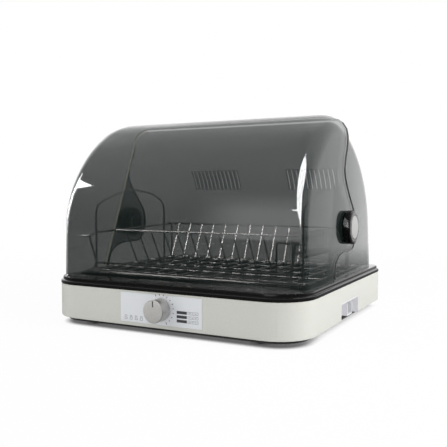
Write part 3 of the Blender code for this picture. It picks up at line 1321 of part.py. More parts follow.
def build_rack_handles(mat):
    for name, side in (("left", -1.0), ("right", 1.0)):
        x = side * ARCH_X
        path = [
            (x, ARCH_FRONT_Y, LONG_SEAT),
            (x, ARCH_FRONT_Y, RACK_Z + ARCH_LEG_RISE),
            (x, ARCH_FRONT_Y + ARCH_FRONT_SHOULDER, RACK_Z + ARCH_SHOULDER_RISE),
            (x, ARCH_FRONT_Y + ARCH_TOP_BACK, RACK_Z + ARCH_TOP_RISE),
            (x, ARCH_REAR_Y - ARCH_REAR_SHOULDER, RACK_Z + ARCH_SHOULDER_RISE),
            (x, ARCH_REAR_Y, RACK_Z + ARCH_LEG_RISE),
            (x, ARCH_REAR_Y, LONG_SEAT),
        ]
        verts, faces = wire(path, RACK_FRAME_WIRE, WIRE_SIDES, False, RACK_RADIUS)
        make_object(f"rack_handle_{name}", verts, faces, mat)


def build_dividers(mat):
    rest = LONG_SEAT + RACK_THIN_WIRE
    for i in range(DIVIDER_COUNT):
        x = DIVIDER_INSET - RAIL_X + i * CROSS_PITCH
        path = [
            (x, REAR_RAIL_Y - DIVIDER_SEAT, REAR_RAIL_Z),
            (x, REAR_RAIL_Y - DIVIDER_REAR_LEAN, rest),
            (x, FRONT_RAIL_Y + DIVIDER_FRONT_LEAN, rest),
            (x, FRONT_RAIL_Y + DIVIDER_SEAT, FRONT_RAIL_Z),
        ]
        verts, faces = wire(path, RACK_THIN_WIRE, THIN_SIDES)
        make_object(f"plate_divider_{i + 1:02d}", verts, faces, mat)


def basket_profile(y):
    return [
        (BASKET_LEFT_X, y, BASKET_LEFT_Z),
        (BASKET_SHOULDER_X, y, BASKET_SHOULDER_Z),
        (BASKET_FLOOR_LEFT_X, y, BASKET_FLOOR_LEFT_Z),
        (BASKET_FLOOR_RIGHT_X, y, BASKET_FLOOR_RIGHT_Z),
        (BASKET_RIGHT_X, y, BASKET_TURN_Z),
        (BASKET_RIGHT_X, y, BASKET_RIGHT_Z),
    ]


def build_basket(mat):
    rails = []
    front = BASKET_FRONT_Y - BASKET_END
    rear = BASKET_REAR_Y + BASKET_END
    for x, z in (
        (BASKET_LEFT_X, BASKET_LEFT_Z),
        (BASKET_RIGHT_X, BASKET_RIGHT_Z),
    ):
        rails.append(wire([(x, front, z), (x, rear, z)], BASKET_RAIL))
    for x, z in (
        (BASKET_SHOULDER_X, BASKET_SHOULDER_Z),
        (BASKET_FLOOR_LEFT_X, BASKET_FLOOR_LEFT_Z),
        (BASKET_FLOOR_RIGHT_X, BASKET_FLOOR_RIGHT_Z),
    ):
        rails.append(wire([(x, front, z + WIRE_BITE), (x, rear, z + WIRE_BITE)], BASKET_RAIL))
    origin = (BASKET_LEFT_X, BASKET_FRONT_Y, BASKET_LEFT_Z)
    first, *others = rails
    verts, faces = first
    ob = make_object("cutlery_basket", verts, faces, mat, origin)
    ribs = []
    pitch = (BASKET_REAR_Y - BASKET_FRONT_Y) / (BASKET_WIRES - 1)
    for i in range(BASKET_WIRES):
        ribs.append(wire(basket_profile(BASKET_FRONT_Y + i * pitch), BASKET_WIRE, THIN_SIDES))
    join(ob, merge(ribs), "ribs")
    join(ob, merge(others), "rails")
    hooks = []
    for y in (BASKET_FRONT_Y + BASKET_HOOK_INSET, BASKET_REAR_Y - BASKET_HOOK_INSET):
        top = BASKET_RIGHT_Z + WIRE_BITE
        hooks.append(
            wire(
                [
                    (BASKET_RIGHT_X - WIRE_BITE, y, top),
                    (BASKET_RIGHT_X + BASKET_HOOK_REACH, y, top),
                    (BASKET_RIGHT_X + BASKET_HOOK_REACH, y, top - BASKET_HOOK_DROP),
                ],
                BASKET_WIRE,
                WIRE_SIDES,
                False,
                BASKET_RAIL,
            )
        )
    join(ob, merge(hooks), "hooks")
    foot_z = CROSS_SEAT + BASKET_RAIL
    stand = wire(
        [
            (STAND_REACH_X, STAND_FRONT_Y, STAND_Z),
            (STAND_X, STAND_FRONT_Y, STAND_Z),
            (STAND_X, STAND_FRONT_Y, foot_z),
            (STAND_X, STAND_REAR_Y, foot_z),
            (STAND_X, STAND_REAR_Y, STAND_Z),
            (STAND_REACH_X, STAND_REAR_Y, STAND_Z),
        ],
        BASKET_RAIL,
    )
    join(ob, stand, "stand")
    return ob


# Blower and heater
def build_blower(plastic, fan_mat, motor_mat):
    centre = (BLOWER_X, BLOWER_Y, 0.0)
    axis = (0.0, 0.0, 1.0)
    drum = [(SCROLL_RADIUS, SCROLL_BOTTOM), (SCROLL_RADIUS, SCROLL_TOP)]
    verts, faces = turned(drum, centre, axis)
    scroll = make_object("blower_scroll", verts, faces, plastic)
    low = (SCROLL_OUTLET_X, SCROLL_OUTLET_FRONT_Y, SCROLL_BOTTOM)
    high = (BLOWER_X, SCROLL_OUTLET_REAR_Y, SCROLL_TOP)
    join(scroll, box(low, high), "outlet")
    inner = SCROLL_RADIUS - SCROLL_WALL
    floor = SCROLL_BOTTOM + SCROLL_WALL
    hollow = [(inner, floor), (inner, SCROLL_TOP - SCROLL_WALL)]
    cut(scroll, turned(hollow, centre, axis), "drum_hollow")
    low = (SCROLL_OUTLET_X - OVERCUT, SCROLL_OUTLET_FRONT_Y + SCROLL_WALL, floor)
    high = (BLOWER_X, SCROLL_OUTLET_REAR_Y - SCROLL_WALL, SCROLL_TOP - SCROLL_WALL)
    cut(scroll, box(low, high), "outlet_hollow")
    inlet = [(INLET_RADIUS, SCROLL_BOTTOM - OVERCUT), (INLET_RADIUS, SCROLL_BOTTOM + 2.0 * SCROLL_WALL)]
    cut(scroll, turned(inlet, centre, axis), "inlet")
    bore_radius = MOTOR_BORE_RADIUS + GAP
    bore = [(bore_radius, SCROLL_TOP - 2.0 * SCROLL_WALL), (bore_radius, SCROLL_TOP + OVERCUT)]
    cut(scroll, turned(bore, centre, axis, SMALL_ROUND_STEPS), "shaft_hole")

    origin = (BLOWER_X, BLOWER_Y, IMPELLER_BOTTOM)
    profile = [
        (IMPELLER_HUB_RADIUS, IMPELLER_HUB_BOTTOM),
        (IMPELLER_HUB_RADIUS, IMPELLER_TOP - IMPELLER_DISC),
        (IMPELLER_RADIUS, IMPELLER_TOP - IMPELLER_DISC),
        (IMPELLER_RADIUS, IMPELLER_TOP),
        (IMPELLER_SHAFT_RADIUS, IMPELLER_TOP),
        (IMPELLER_SHAFT_RADIUS, IMPELLER_SHAFT_TOP),
    ]
    verts, faces = turned(profile, centre, axis)
    impeller = make_object("impeller", verts, faces, fan_mat, origin)
    blades = []
    top = IMPELLER_TOP - IMPELLER_DISC / 2
    for i in range(IMPELLER_BLADES):
        turn = Matrix.Rotation(TURN * i / IMPELLER_BLADES, 3, "Z")
        blade_verts, blade_faces = box(
            (IMPELLER_INNER_RADIUS, -IMPELLER_BLADE / 2, IMPELLER_BOTTOM),
            (IMPELLER_RADIUS - IMPELLER_BLADE, IMPELLER_BLADE / 2, top),
        )
        moved = [tuple(turn @ Vector(v) + Vector(centre)) for v in blade_verts]
        blades.append((moved, blade_faces))
    join(impeller, merge(blades), "blades")
    shroud = [
        (IMPELLER_RADIUS, IMPELLER_BOTTOM - IMPELLER_DISC),
        (IMPELLER_RADIUS, IMPELLER_BOTTOM + IMPELLER_DISC),
    ]
    join(impeller, turned(shroud, centre, axis), "shroud")
    shroud_hole = [
        (IMPELLER_INNER_RADIUS, IMPELLER_BOTTOM - OVERCUT),
        (IMPELLER_INNER_RADIUS, IMPELLER_BOTTOM + 2.0 * IMPELLER_DISC),
    ]
    cut(impeller, turned(shroud_hole, centre, axis), "shroud_hole")

    base = SCROLL_TOP + GAP
    profile = [
        (MOTOR_RADIUS, base),
        (MOTOR_RADIUS, MOTOR_TOP - MOTOR_EDGE),
        (MOTOR_RADIUS - MOTOR_EDGE, MOTOR_TOP),
    ]
    verts, faces = turned(profile, centre, axis)
    motor = make_object("blower_motor", verts, faces, motor_mat)
    bore = [(MOTOR_BORE_RADIUS, base - OVERCUT), (MOTOR_BORE_RADIUS, MOTOR_BORE_TOP)]
    cut(motor, turned(bore, centre, axis, SMALL_ROUND_STEPS), "shaft_bore")


def build_duct(plastic, fin_mat, metal):
    centre = (OUTLET_X, OUTLET_Y, (DUCT_BOTTOM + DUCT_TOP) / 2)
    size = (DUCT_LENGTH_X, DUCT_LENGTH_Y, DUCT_TOP - DUCT_BOTTOM)
    verts, faces = centred_box(centre, size)
    duct = make_object("heater_duct", verts, faces, plastic)
    inner_x = DUCT_LENGTH_X / 2 - DUCT_WALL
    inner_y = DUCT_LENGTH_Y / 2 - DUCT_WALL
    low = (OUTLET_X - inner_x, OUTLET_Y - inner_y, DUCT_BOTTOM + DUCT_WALL)
    high = (OUTLET_X + inner_x, OUTLET_Y + inner_y, DUCT_TOP + OVERCUT)
    cut(duct, box(low, high), "hollow")
    right = OUTLET_X + DUCT_LENGTH_X / 2
    low = (right - OVERCUT, SCROLL_OUTLET_FRONT_Y - GAP, SCROLL_BOTTOM - GAP)
    high = (right + OVERCUT, SCROLL_OUTLET_REAR_Y + GAP, SCROLL_TOP + GAP)
    cut(duct, box(low, high), "air_entry")

    fin_low = (HEATER_X - HEATER_LENGTH_X / 2, OUTLET_Y - inner_y + GAP, HEATER_BOTTOM)
    fin_high = (HEATER_X + HEATER_LENGTH_X / 2, OUTLET_Y + inner_y - GAP, HEATER_TOP)
    verts, faces = box(fin_low, fin_high)
    heater = make_object("heater_block", verts, faces, fin_mat)
    pitch = (fin_high[1] - fin_low[1]) / HEATER_FIN_COUNT
    slots = []
    for i in range(HEATER_FIN_COUNT):
        y = fin_low[1] + (i + 0.5) * pitch
        mid_z = (HEATER_BOTTOM + HEATER_TOP) / 2
        size = (2.0 * OVERCUT, pitch * HEATER_FIN_SHARE, HEATER_HEIGHT - 2.0 * HEATER_SPINE)
        slots.append(centred_box((HEATER_X, y, mid_z), size))
    cut(heater, merge(slots), "fins")

    left = OUTLET_X - DUCT_LENGTH_X / 2 - GAP
    profile = [
        (CUTOUT_RADIUS, 0.0),
        (CUTOUT_RADIUS, CUTOUT_THICKNESS - CUTOUT_EDGE),
        (CUTOUT_RADIUS - CUTOUT_EDGE, CUTOUT_THICKNESS),
    ]
    centre = (left, OUTLET_Y, DUCT_BOTTOM + CUTOUT_RISE)
    verts, faces = turned(profile, centre, (-1.0, 0.0, 0.0), SMALL_ROUND_STEPS)
    make_object("thermal_cutout", verts, faces, metal)


def build_electrics(plastic, rubber):
    base = PAN_FLOOR_TOP + GAP
    top = base + TERMINAL_HEIGHT
    low = (TERMINAL_X - TERMINAL_LENGTH / 2, TERMINAL_Y - TERMINAL_WIDTH / 2, base)
    high = (TERMINAL_X + TERMINAL_LENGTH / 2, TERMINAL_Y + TERMINAL_WIDTH / 2, top)
    verts, faces = box(low, high)
    block = make_object("terminal_block", verts, faces, plastic)
    pitch = TERMINAL_LENGTH / TERMINAL_POLES
    width = pitch - 2.0 * TERMINAL_BARRIER
    pocket = (width, TERMINAL_WIDTH - 2.0 * TERMINAL_STEP, 2.0 * TERMINAL_STEP)
    pockets = []
    for i in range(TERMINAL_POLES):
        x = low[0] + (i + 0.5) * pitch
        pockets.append(centred_box((x, TERMINAL_Y, top), pocket))
    cut(block, merge(pockets), "poles")

    profile = [
        (GLAND_RADIUS, -GLAND_LENGTH),
        (GLAND_RADIUS, GAP),
        (GLAND_FLANGE_RADIUS, GAP),
        (GLAND_FLANGE_RADIUS, GLAND_FLANGE / 2),
        (GLAND_FLANGE_RADIUS - GLAND_FLANGE / 2, GLAND_FLANGE),
    ]
    centre = (GLAND_X, REAR_Y, GLAND_Z)
    axis = (0.0, 1.0, 0.0)
    verts, faces = turned(profile, centre, axis, SMALL_ROUND_STEPS)
    gland = make_object("cord_gland", verts, faces, rubber)
    bore = [(GLAND_BORE_RADIUS, -GLAND_LENGTH - OVERCUT), (GLAND_BORE_RADIUS, GLAND_FLANGE + OVERCUT)]
    cut(gland, turned(bore, centre, axis, SMALL_ROUND_STEPS), "cord_bore")


def centre_in_depth():
    """Put the origin midway between the knob's face and the cord gland."""
    front = FRONT_Y - PLATE_PROUD - KNOB_STANDOFF - KNOB_DEPTH
    rear = REAR_Y + GLAND_FLANGE
    for ob in bpy.context.scene.objects:
        if ob.parent is None:
            ob.location.y -= (front + rear) / 2


def main():
    clear_scene()
    cream = make_material("cream_plastic", (0.72, 0.72, 0.66), 0.45)
    black = make_material("black_gloss_plastic", (0.012, 0.012, 0.014), 0.15)
    dark = make_material("dark_plastic", (0.03, 0.03, 0.032), 0.5)
    plate_mat = make_material("pale_plate", (0.70, 0.74, 0.78), 0.35)
    brushed = make_material("brushed_metal", (0.62, 0.60, 0.58), 0.3, 1.0)
    steel = make_material("stainless_wire", (0.65, 0.65, 0.66), 0.22, 1.0)
    silver = make_material("silver_plastic", (0.66, 0.66, 0.66), 0.35, 0.6)
    smoked = make_material("smoked_clear_plastic", (0.10, 0.11, 0.10), 0.08, 0.0, 0.6)
    rubber = make_material("rubber", (0.02, 0.02, 0.02), 0.8)
    grey = make_material("grey_plastic", (0.42, 0.42, 0.42), 0.5)
    pale_grey = make_material("pale_grey_plastic", (0.6, 0.6, 0.6), 0.45)
    aluminium = make_material("aluminium", (0.7, 0.7, 0.72), 0.4, 1.0)

    build_housing(cream)
    build_pan(dark)
    build_feet(rubber)
    build_base_screws(steel)
    build_deck(black)
    build_tray(black)
    build_grille(dark)
    build_controls(plate_mat, brushed, dark, grey)
    build_lid(smoked)
    cover = build_cover(smoked)
    build_cover_tabs(cover, steel)
    build_hinge(black, silver, dark)
    build_side_recess(grey, pale_grey)
    build_rack_grid(steel)
    build_rack_rails(steel)
    build_rack_ends(steel)
    build_rack_handles(steel)
    build_dividers(steel)
    build_basket(steel)
    build_blower(dark, grey, aluminium)
    build_duct(dark, aluminium, silver)
    build_electrics(pale_grey, rubber)
    centre_in_depth()


main()
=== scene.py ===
"""Looks of the electric dish dryer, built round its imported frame. Metres, +Z up, front at -Y."""
import math

import bmesh
import bpy
from mathutils import Matrix, Vector


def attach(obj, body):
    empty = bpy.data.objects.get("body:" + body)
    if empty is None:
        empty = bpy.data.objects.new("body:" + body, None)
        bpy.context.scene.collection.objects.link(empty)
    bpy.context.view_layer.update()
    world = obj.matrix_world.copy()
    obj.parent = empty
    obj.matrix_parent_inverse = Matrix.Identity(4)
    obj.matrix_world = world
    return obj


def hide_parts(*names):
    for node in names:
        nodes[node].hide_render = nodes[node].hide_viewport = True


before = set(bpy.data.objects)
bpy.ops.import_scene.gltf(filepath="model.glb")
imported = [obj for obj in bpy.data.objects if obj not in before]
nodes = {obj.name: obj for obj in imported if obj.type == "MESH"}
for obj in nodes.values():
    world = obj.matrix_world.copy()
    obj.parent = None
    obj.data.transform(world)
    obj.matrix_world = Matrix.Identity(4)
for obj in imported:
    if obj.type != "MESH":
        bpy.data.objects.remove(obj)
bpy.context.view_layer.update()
scene = bpy.context.scene
scene.view_settings.view_transform = "Standard"

# Points of the mesh that lie this close together are one point
WELD_DISTANCE = 0.000002


# Materials
def principled(name, low, high, glossy, rough, **inputs):
    """One Principled shader; its plain values, for viewers without nodes, are halfway."""
    mat = bpy.data.materials.new(name)
    mat.use_nodes = True
    shader = mat.node_tree.nodes["Principled BSDF"]
    middle = [(a + b) / 2 for a, b in zip(low, high)]
    shader.inputs["Base Color"].default_value = (*middle, 1.0)
    shader.inputs["Roughness"].default_value = (glossy + rough) / 2
    for key, value in inputs.items():
        shader.inputs[key.replace("_", " ")].default_value = value
    return mat, shader


def noise(mat, scale, detail, stretch=(1.0, 1.0, 1.0)):
    """Noise in object coordinates, which stay on the piece as it moves."""
    tree = mat.node_tree
    coords = tree.nodes.new("ShaderNodeTexCoord")
    mapping = tree.nodes.new("ShaderNodeMapping")
    texture = tree.nodes.new("ShaderNodeTexNoise")
    mapping.inputs["Scale"].default_value = stretch
    texture.inputs["Scale"].default_value = scale
    texture.inputs["Detail"].default_value = detail
    tree.links.new(coords.outputs["Object"], mapping.inputs["Vector"])
    tree.links.new(mapping.outputs["Vector"], texture.inputs["Vector"])
    return texture.outputs["Fac"]


TINT_FROM = 0.3
TINT_TO = 0.7


def tint(mat, shader, value, low, high):
    """The base colour, from low to high over the middle part of the value."""
    node = mat.node_tree.nodes.new("ShaderNodeValToRGB")
    first, last = node.color_ramp.elements
    first.color = (*low, 1.0)
    first.position = TINT_FROM
    last.color = (*high, 1.0)
    last.position = TINT_TO
    mat.node_tree.links.new(value, node.inputs["Fac"])
    mat.node_tree.links.new(node.outputs["Color"], shader.inputs["Base Color"])


def gloss(mat, shader, value, glossy, rough):
    """The roughness, from glossy to rough over the value."""
    node = mat.node_tree.nodes.new("ShaderNodeMapRange")
    node.inputs["To Min"].default_value = glossy
    node.inputs["To Max"].default_value = rough
    mat.node_tree.links.new(value, node.inputs["Value"])
    mat.node_tree.links.new(node.outputs["Result"], shader.inputs["Roughness"])


def bump(mat, shader, value, depth):
    node = mat.node_tree.nodes.new("ShaderNodeBump")
    node.inputs["Distance"].default_value = depth
    node.inputs["Strength"].default_value = 1.0
    mat.node_tree.links.new(value, node.inputs["Height"])
    mat.node_tree.links.new(node.outputs["Normal"], shader.inputs["Normal"])


TINT_GRAIN = 0.3
GLOSS_GRAIN = 0.5


def grained(name, low, high, glossy, rough, grain, depth, **inputs):
    """A material with fine mottling in its colour and in its gloss, and a shallow grain."""
    mat, shader = principled(name, low, high, glossy, rough, **inputs)
    tint(mat, shader, noise(mat, grain * TINT_GRAIN, 3.0), low, high)
    gloss(mat, shader, noise(mat, grain * GLOSS_GRAIN, 2.0), glossy, rough)
    bump(mat, shader, noise(mat, grain, 3.0), depth)
    return mat


def brushed_metal():
    """Metal with fine level streaks in its colour, its gloss and its surface."""
    low, high = (0.50, 0.49, 0.47), (0.72, 0.71, 0.69)
    glossy, rough = 0.24, 0.38
    mat, shader = principled("brushed", low, high, glossy, rough, Metallic=1.0, Anisotropic=0.5)
    streaks = noise(mat, 260.0, 4.0, (1.0, 1.0, 14.0))
    tint(mat, shader, streaks, low, high)
    gloss(mat, shader, streaks, glossy, rough)
    bump(mat, shader, streaks, 0.00001)
    return mat


def smoked_plastic():
    """Clear plastic with a dark smoke in it; its alpha is how much of the light it stops."""
    low, high = (0.010, 0.0185, 0.017), (0.015, 0.0255, 0.023)
    glossy, rough = 0.02, 0.05
    mat, shader = principled("smoked", low, high, glossy, rough, Alpha=0.512)
    tint(mat, shader, noise(mat, 12.0, 2.0), low, high)
    gloss(mat, shader, noise(mat, 40.0, 4.0), glossy, rough)
    return mat


cream = grained(
    "cream", (0.75, 0.755, 0.70), (0.775, 0.78, 0.725), 0.36, 0.46, 1400.0, 0.00002)
pearl = grained(
    "pearl", (0.88, 0.88, 0.91), (0.92, 0.92, 0.95), 0.34, 0.46, 1200.0, 0.00001)
edge_dark = grained(
    "edge_dark", (0.035, 0.038, 0.036), (0.06, 0.063, 0.06), 0.28, 0.42, 900.0, 0.00001)
# Painted highlight: a pale colour for the lid's inner rim, where it catches the light
painted_edge_highlight = grained(
    "painted_edge_highlight", (0.56, 0.57, 0.53), (0.68, 0.68, 0.63), 0.24, 0.36, 700.0, 0.00001)
# Painted highlight: a pale olive that glows, for the lit edge of the rear cover's wall seen
# through the dome
olive_painted_glow = grained(
    "olive_painted_glow", (0.74, 0.72, 0.54), (0.86, 0.84, 0.66), 0.28, 0.42, 700.0, 0.00001,
    Emission_Color=(0.80, 0.78, 0.60, 1.0), Emission_Strength=0.3)
ink = grained(
    "ink", (0.05, 0.05, 0.055), (0.075, 0.075, 0.085), 0.48, 0.62, 2600.0, 0.000004)
pale_ink = grained(
    "pale_ink", (0.33, 0.34, 0.37), (0.40, 0.41, 0.44), 0.48, 0.62, 2600.0, 0.000004)

# The materials of the solids, by the name of their slot
MATERIALS = {
    "cream": cream,
    "black_gloss": grained(
        "black_gloss", (0.004, 0.004, 0.004), (0.008, 0.0075, 0.007), 0.07, 0.15, 900.0, 0.000006,
        Specular_IOR_Level=0.2),
    "dark": grained(
        "dark", (0.016, 0.016, 0.016), (0.026, 0.026, 0.026), 0.42, 0.58, 1200.0, 0.00002),
    "grey": grained(
        "grey", (0.165, 0.165, 0.165), (0.20, 0.20, 0.20), 0.42, 0.58, 1200.0, 0.00002),
    "pale_grey": grained(
        "pale_grey", (0.53, 0.53, 0.51), (0.57, 0.57, 0.55), 0.38, 0.5, 1200.0, 0.00002),
    "rubber": grained(
        "rubber", (0.024, 0.024, 0.024), (0.036, 0.036, 0.036), 0.68, 0.82, 1600.0, 0.00003),
    "plate": grained(
        "plate", (0.92, 0.945, 0.98), (0.94, 0.965, 1.0), 0.28, 0.38, 1800.0, 0.00001),
    "steel": grained(
        "steel", (0.28, 0.27, 0.26), (0.40, 0.39, 0.375), 0.10, 0.2, 1500.0, 0.000006,
        Metallic=1.0),
    "silver": grained(
        "silver", (0.38, 0.38, 0.37), (0.46, 0.46, 0.45), 0.32, 0.44, 1500.0, 0.00001,
        Metallic=1.0),
    "aluminium": grained(
        "aluminium", (0.76, 0.76, 0.76), (0.84, 0.84, 0.84), 0.3, 0.42, 1500.0, 0.00001,
        Metallic=1.0),
    "brushed": brushed_metal(),
    "smoked": smoked_plastic(),
}
# Two solids are paler in the photo than their slot's material
PALER = {"side_recess_liner": pearl, "water_spout": pearl}


# Shading: flat faces flat, curved faces smooth, and some edges with a small round
SHARP_ANGLE = math.radians(38.0)
ROUND_ANGLE = math.radians(60.0)
ROUND_SEGMENTS = 2
FACE_WEIGHT = 50
ROUNDED = {
    "base_housing": 0.0006,
    "deck": 0.0004,
    "drip_tray": 0.0003,
    "hinge_knob_left": 0.0005,
    "hinge_knob_right": 0.0005,
}


def smoothing_group():
    """A geometry group that smooths all faces and keeps the edges above SHARP_ANGLE sharp."""
    group = bpy.data.node_groups.new("shade", "GeometryNodeTree")
    group.interface.new_socket("Geometry", in_out="INPUT", socket_type="NodeSocketGeometry")
    group.interface.new_socket("Geometry", in_out="OUTPUT", socket_type="NodeSocketGeometry")
    start = group.nodes.new("NodeGroupInput")
    end = group.nodes.new("NodeGroupOutput")
    angle = group.nodes.new("GeometryNodeInputMeshEdgeAngle")
    sharp = group.nodes.new("FunctionNodeCompare")
    sharp.operation = "GREATER_THAN"
    sharp.inputs["B"].default_value = SHARP_ANGLE
    normals = group.nodes.new("GeometryNodeSetMeshNormal")
    normals.mode = "SHARPNESS"
    normals.inputs["Remove Custom"].default_value = True
    normals.inputs["Face Sharpness"].default_value = False
    group.links.new(angle.outputs["Unsigned Angle"], sharp.inputs["A"])
    group.links.new(sharp.outputs["Result"], normals.inputs["Edge Sharpness"])
    group.links.new(start.outputs[0], normals.inputs["Mesh"])
    group.links.new(normals.outputs["Mesh"], end.inputs[0])
    return group


SMOOTHING = smoothing_group()


def shade(ob, edge_round=0.0):
    weld = ob.modifiers.new("weld", "WELD")
    weld.merge_threshold = WELD_DISTANCE
    if edge_round:
        bevel = ob.modifiers.new("round", "BEVEL")
        bevel.width = edge_round
        bevel.segments = ROUND_SEGMENTS
        bevel.limit_method = "ANGLE"
        bevel.angle_limit = ROUND_ANGLE
        bevel.use_clamp_overlap = True
    smooth = ob.modifiers.new("shade", "NODES")
    smooth.node_group = SMOOTHING
    if edge_round:
        flat_faces = ob.modifiers.new("flat faces", "WEIGHTED_NORMAL")
        flat_faces.keep_sharp = True
        flat_faces.weight = FACE_WEIGHT


for name, ob in nodes.items():
    slot_name = ob.data.materials[0].name.split(".")[0]
    for slot in ob.material_slots:
        slot.link = "OBJECT"
        slot.material = PALER.get(name, MATERIALS[slot_name])
    shade(ob, ROUNDED.get(name, 0.0))


# New pieces
def piece(name, points, faces, material, body):
    mesh = bpy.data.meshes.new(name)
    mesh.from_pydata([tuple(p) for p in points], [], faces)
    mesh.materials.append(material)
    mesh.update()
    ob = bpy.data.objects.new(name, mesh)
    scene.collection.objects.link(ob)
    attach(ob, body)
    return ob


def welded_copy(node):
    bm = bmesh.new()
    bm.from_mesh(nodes[node].data)
    bmesh.ops.remove_doubles(bm, verts=bm.verts, dist=WELD_DISTANCE)
    return bm


# Where the two front ribs of the base housing stand out of its rounded corners
RIB_END_Y = -0.2135
RIB_PROUD = 0.005
RIB_Z = (0.017, 0.0482)
RIB_X = (0.196, 0.200)
SAME_PLACE = 0.00002


def housing_with_smooth_corners():
    """The base housing, the ends of its two front ribs moved back onto the rounded corners."""
    bm = welded_copy("base_housing")
    proud = [
        v for v in bm.verts
        if v.co.y < RIB_END_Y
        and RIB_Z[0] < v.co.z < RIB_Z[1]
        and RIB_X[0] < abs(v.co.x) < RIB_X[1]
    ]
    moved = {}
    for v in proud:
        behind = [
            w for w in bm.verts
            if RIB_END_Y < w.co.y < v.co.y + RIB_PROUD
            and (w.co - v.co).xz.length < SAME_PLACE
        ]
        moved[v] = min(behind, key=lambda w: w.co.y)
    bmesh.ops.weld_verts(bm, targetmap=moved)
    bmesh.ops.recalc_face_normals(bm, faces=bm.faces)
    bm.verts.index_update()
    points = [v.co.copy() for v in bm.verts]
    faces = [tuple(v.index for v in f.verts) for f in bm.faces]
    bm.free()
    ob = piece("base_housing_smooth_corners", points, faces, cream, "base")
    shade(ob, ROUNDED["base_housing"])
    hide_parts("base_housing")


housing_with_smooth_corners()


# Thin lines along the rims of the dome's two shells; the pale and the glowing ones are painted
# highlights
RIM_ANGLE = math.radians(50.0)
LINE_SIDES = 8
MIDDLE = Vector((0.0, 0.01075, 0.15))


def sweep(path, radius, closed):
    """Rings of points carried along a path without twisting, and the faces between them."""
    path = [Vector(p) for p in path]
    count = len(path)
    points, faces = [], []
    side = None
    for i, at in enumerate(path):
        before = path[i - 1] if i or closed else at
        after = path[(i + 1) % count] if i + 1 < count or closed else at
        along = (after - before).normalized()
        if side is None:
            side = along.orthogonal()
        side = (side - along * side.dot(along)).normalized()
        other = along.cross(side)
        for k in range(LINE_SIDES):
            turn = math.tau * k / LINE_SIDES
            points.append(at + (side * math.cos(turn) + other * math.sin(turn)) * radius)
    for i in range(count if closed else count - 1):
        here = i * LINE_SIDES
        there = (i + 1) % count * LINE_SIDES
        for k in range(LINE_SIDES):
            n = (k + 1) % LINE_SIDES
            faces.append((here + k, here + n, there + n, there + k))
    if not closed:
        faces.append(tuple(reversed(range(LINE_SIDES))))
        faces.append(tuple(range((count - 1) * LINE_SIDES, count * LINE_SIDES)))
    return points, faces


def rim_runs(node, keep):
    """The sharp edges of a node that keep(edge) takes, chained into paths."""
    bm = welded_copy(node)
    bm.normal_update()
    taken = [
        e for e in bm.edges
        if len(e.link_faces) == 2 and e.calc_face_angle(0.0) > RIM_ANGLE and keep(e)
    ]
    left = set(taken)
    runs = []
    for first in sorted(taken, key=lambda e: e.index):
        if first not in left:
            continue
        left.discard(first)
        run = [first.verts[0], first.verts[1]]
        for end in (-1, 0):
            while True:
                tip = run[end]
                following = [e for e in tip.link_edges if e in left]
                if not following:
                    break
                step = min(following, key=lambda e: e.index)
                left.discard(step)
                if end == -1:
                    run.append(step.other_vert(tip))
                else:
                    run.insert(0, step.other_vert(tip))
        closed = run[0] is run[-1]
        runs.append(([v.co.copy() for v in (run[:-1] if closed else run)], closed))
    bm.free()
    return runs


def middle_of(edge):
    return (edge.verts[0].co + edge.verts[1].co) / 2


def outer_side(edge):
    """Whether the face by the edge that looks most towards or from the middle looks away."""
    out = (middle_of(edge) - MIDDLE).normalized()
    best = max(edge.link_faces, key=lambda f: abs(f.normal.dot(out)))
    return best.normal.dot(out) > 0


def rim_lines(name, node, keep, radius, material, body):
    points, faces = [], []
    for path, closed in rim_runs(node, keep):
        if len(path) < 3:
            continue
        ring, walls = sweep(path, radius, closed)
        start = len(points)
        points += ring
        faces += [tuple(start + k for k in wall) for wall in walls]
    ob = piece(name, points, faces, material, body)
    for face in ob.data.polygons:
        face.use_smooth = True


# Above this height the shells stand free of the deck
SHELL_FOOT = 0.0845
# The rear cover's slanted front edge, a glowing painted highlight line drawn on the left side
# alone, where the light catches it
COVER_FRONT_Y = 0.02
COVER_FRONT_SLANT = 0.36
COVER_LEFT_X = -0.19
# The louvre slots in the rear wall
SLOT_Z = (0.230, 0.280)
SLOT_Y = 0.10


def on_lid_outside(edge):
    return middle_of(edge).z > SHELL_FOOT and outer_side(edge)


def on_lid_inside(edge):
    return middle_of(edge).z > SHELL_FOOT and not outer_side(edge)


def on_cover_front(edge):
    at = middle_of(edge)
    front_y = COVER_FRONT_Y + COVER_FRONT_SLANT * (at.z - SHELL_FOOT)
    return at.z > SHELL_FOOT and at.y < front_y and at.x < COVER_LEFT_X and outer_side(edge)


def on_louvre(edge):
    at = middle_of(edge)
    return SLOT_Z[0] < at.z < SLOT_Z[1] and at.y > SLOT_Y


rim_lines("lid_seam", "front_lid", on_lid_outside, 0.0013, edge_dark, "lid")
# The lid's inner rim as a pale painted highlight line
rim_lines("lid_inner_rim_highlight", "front_lid", on_lid_inside, 0.0006, painted_edge_highlight, "lid")
# The rear cover's front edge as a glowing painted highlight line
rim_lines("cover_front_edge_highlight", "rear_cover", on_cover_front, 0.0014, olive_painted_glow, "base")
rim_lines("louvre_rims", "rear_cover", on_louvre, 0.0007, edge_dark, "base")

# Marks on the control plate, a hair proud of its face
PLATE_FACE = -0.21555
MARK_FRONT = PLATE_FACE - 0.00012
MARK_BACK = PLATE_FACE + 0.0003
BOX_FACES = ((0, 1, 2, 3), (7, 6, 5, 4), (0, 4, 5, 1), (1, 5, 6, 2), (2, 6, 7, 3), (3, 7, 4, 0))


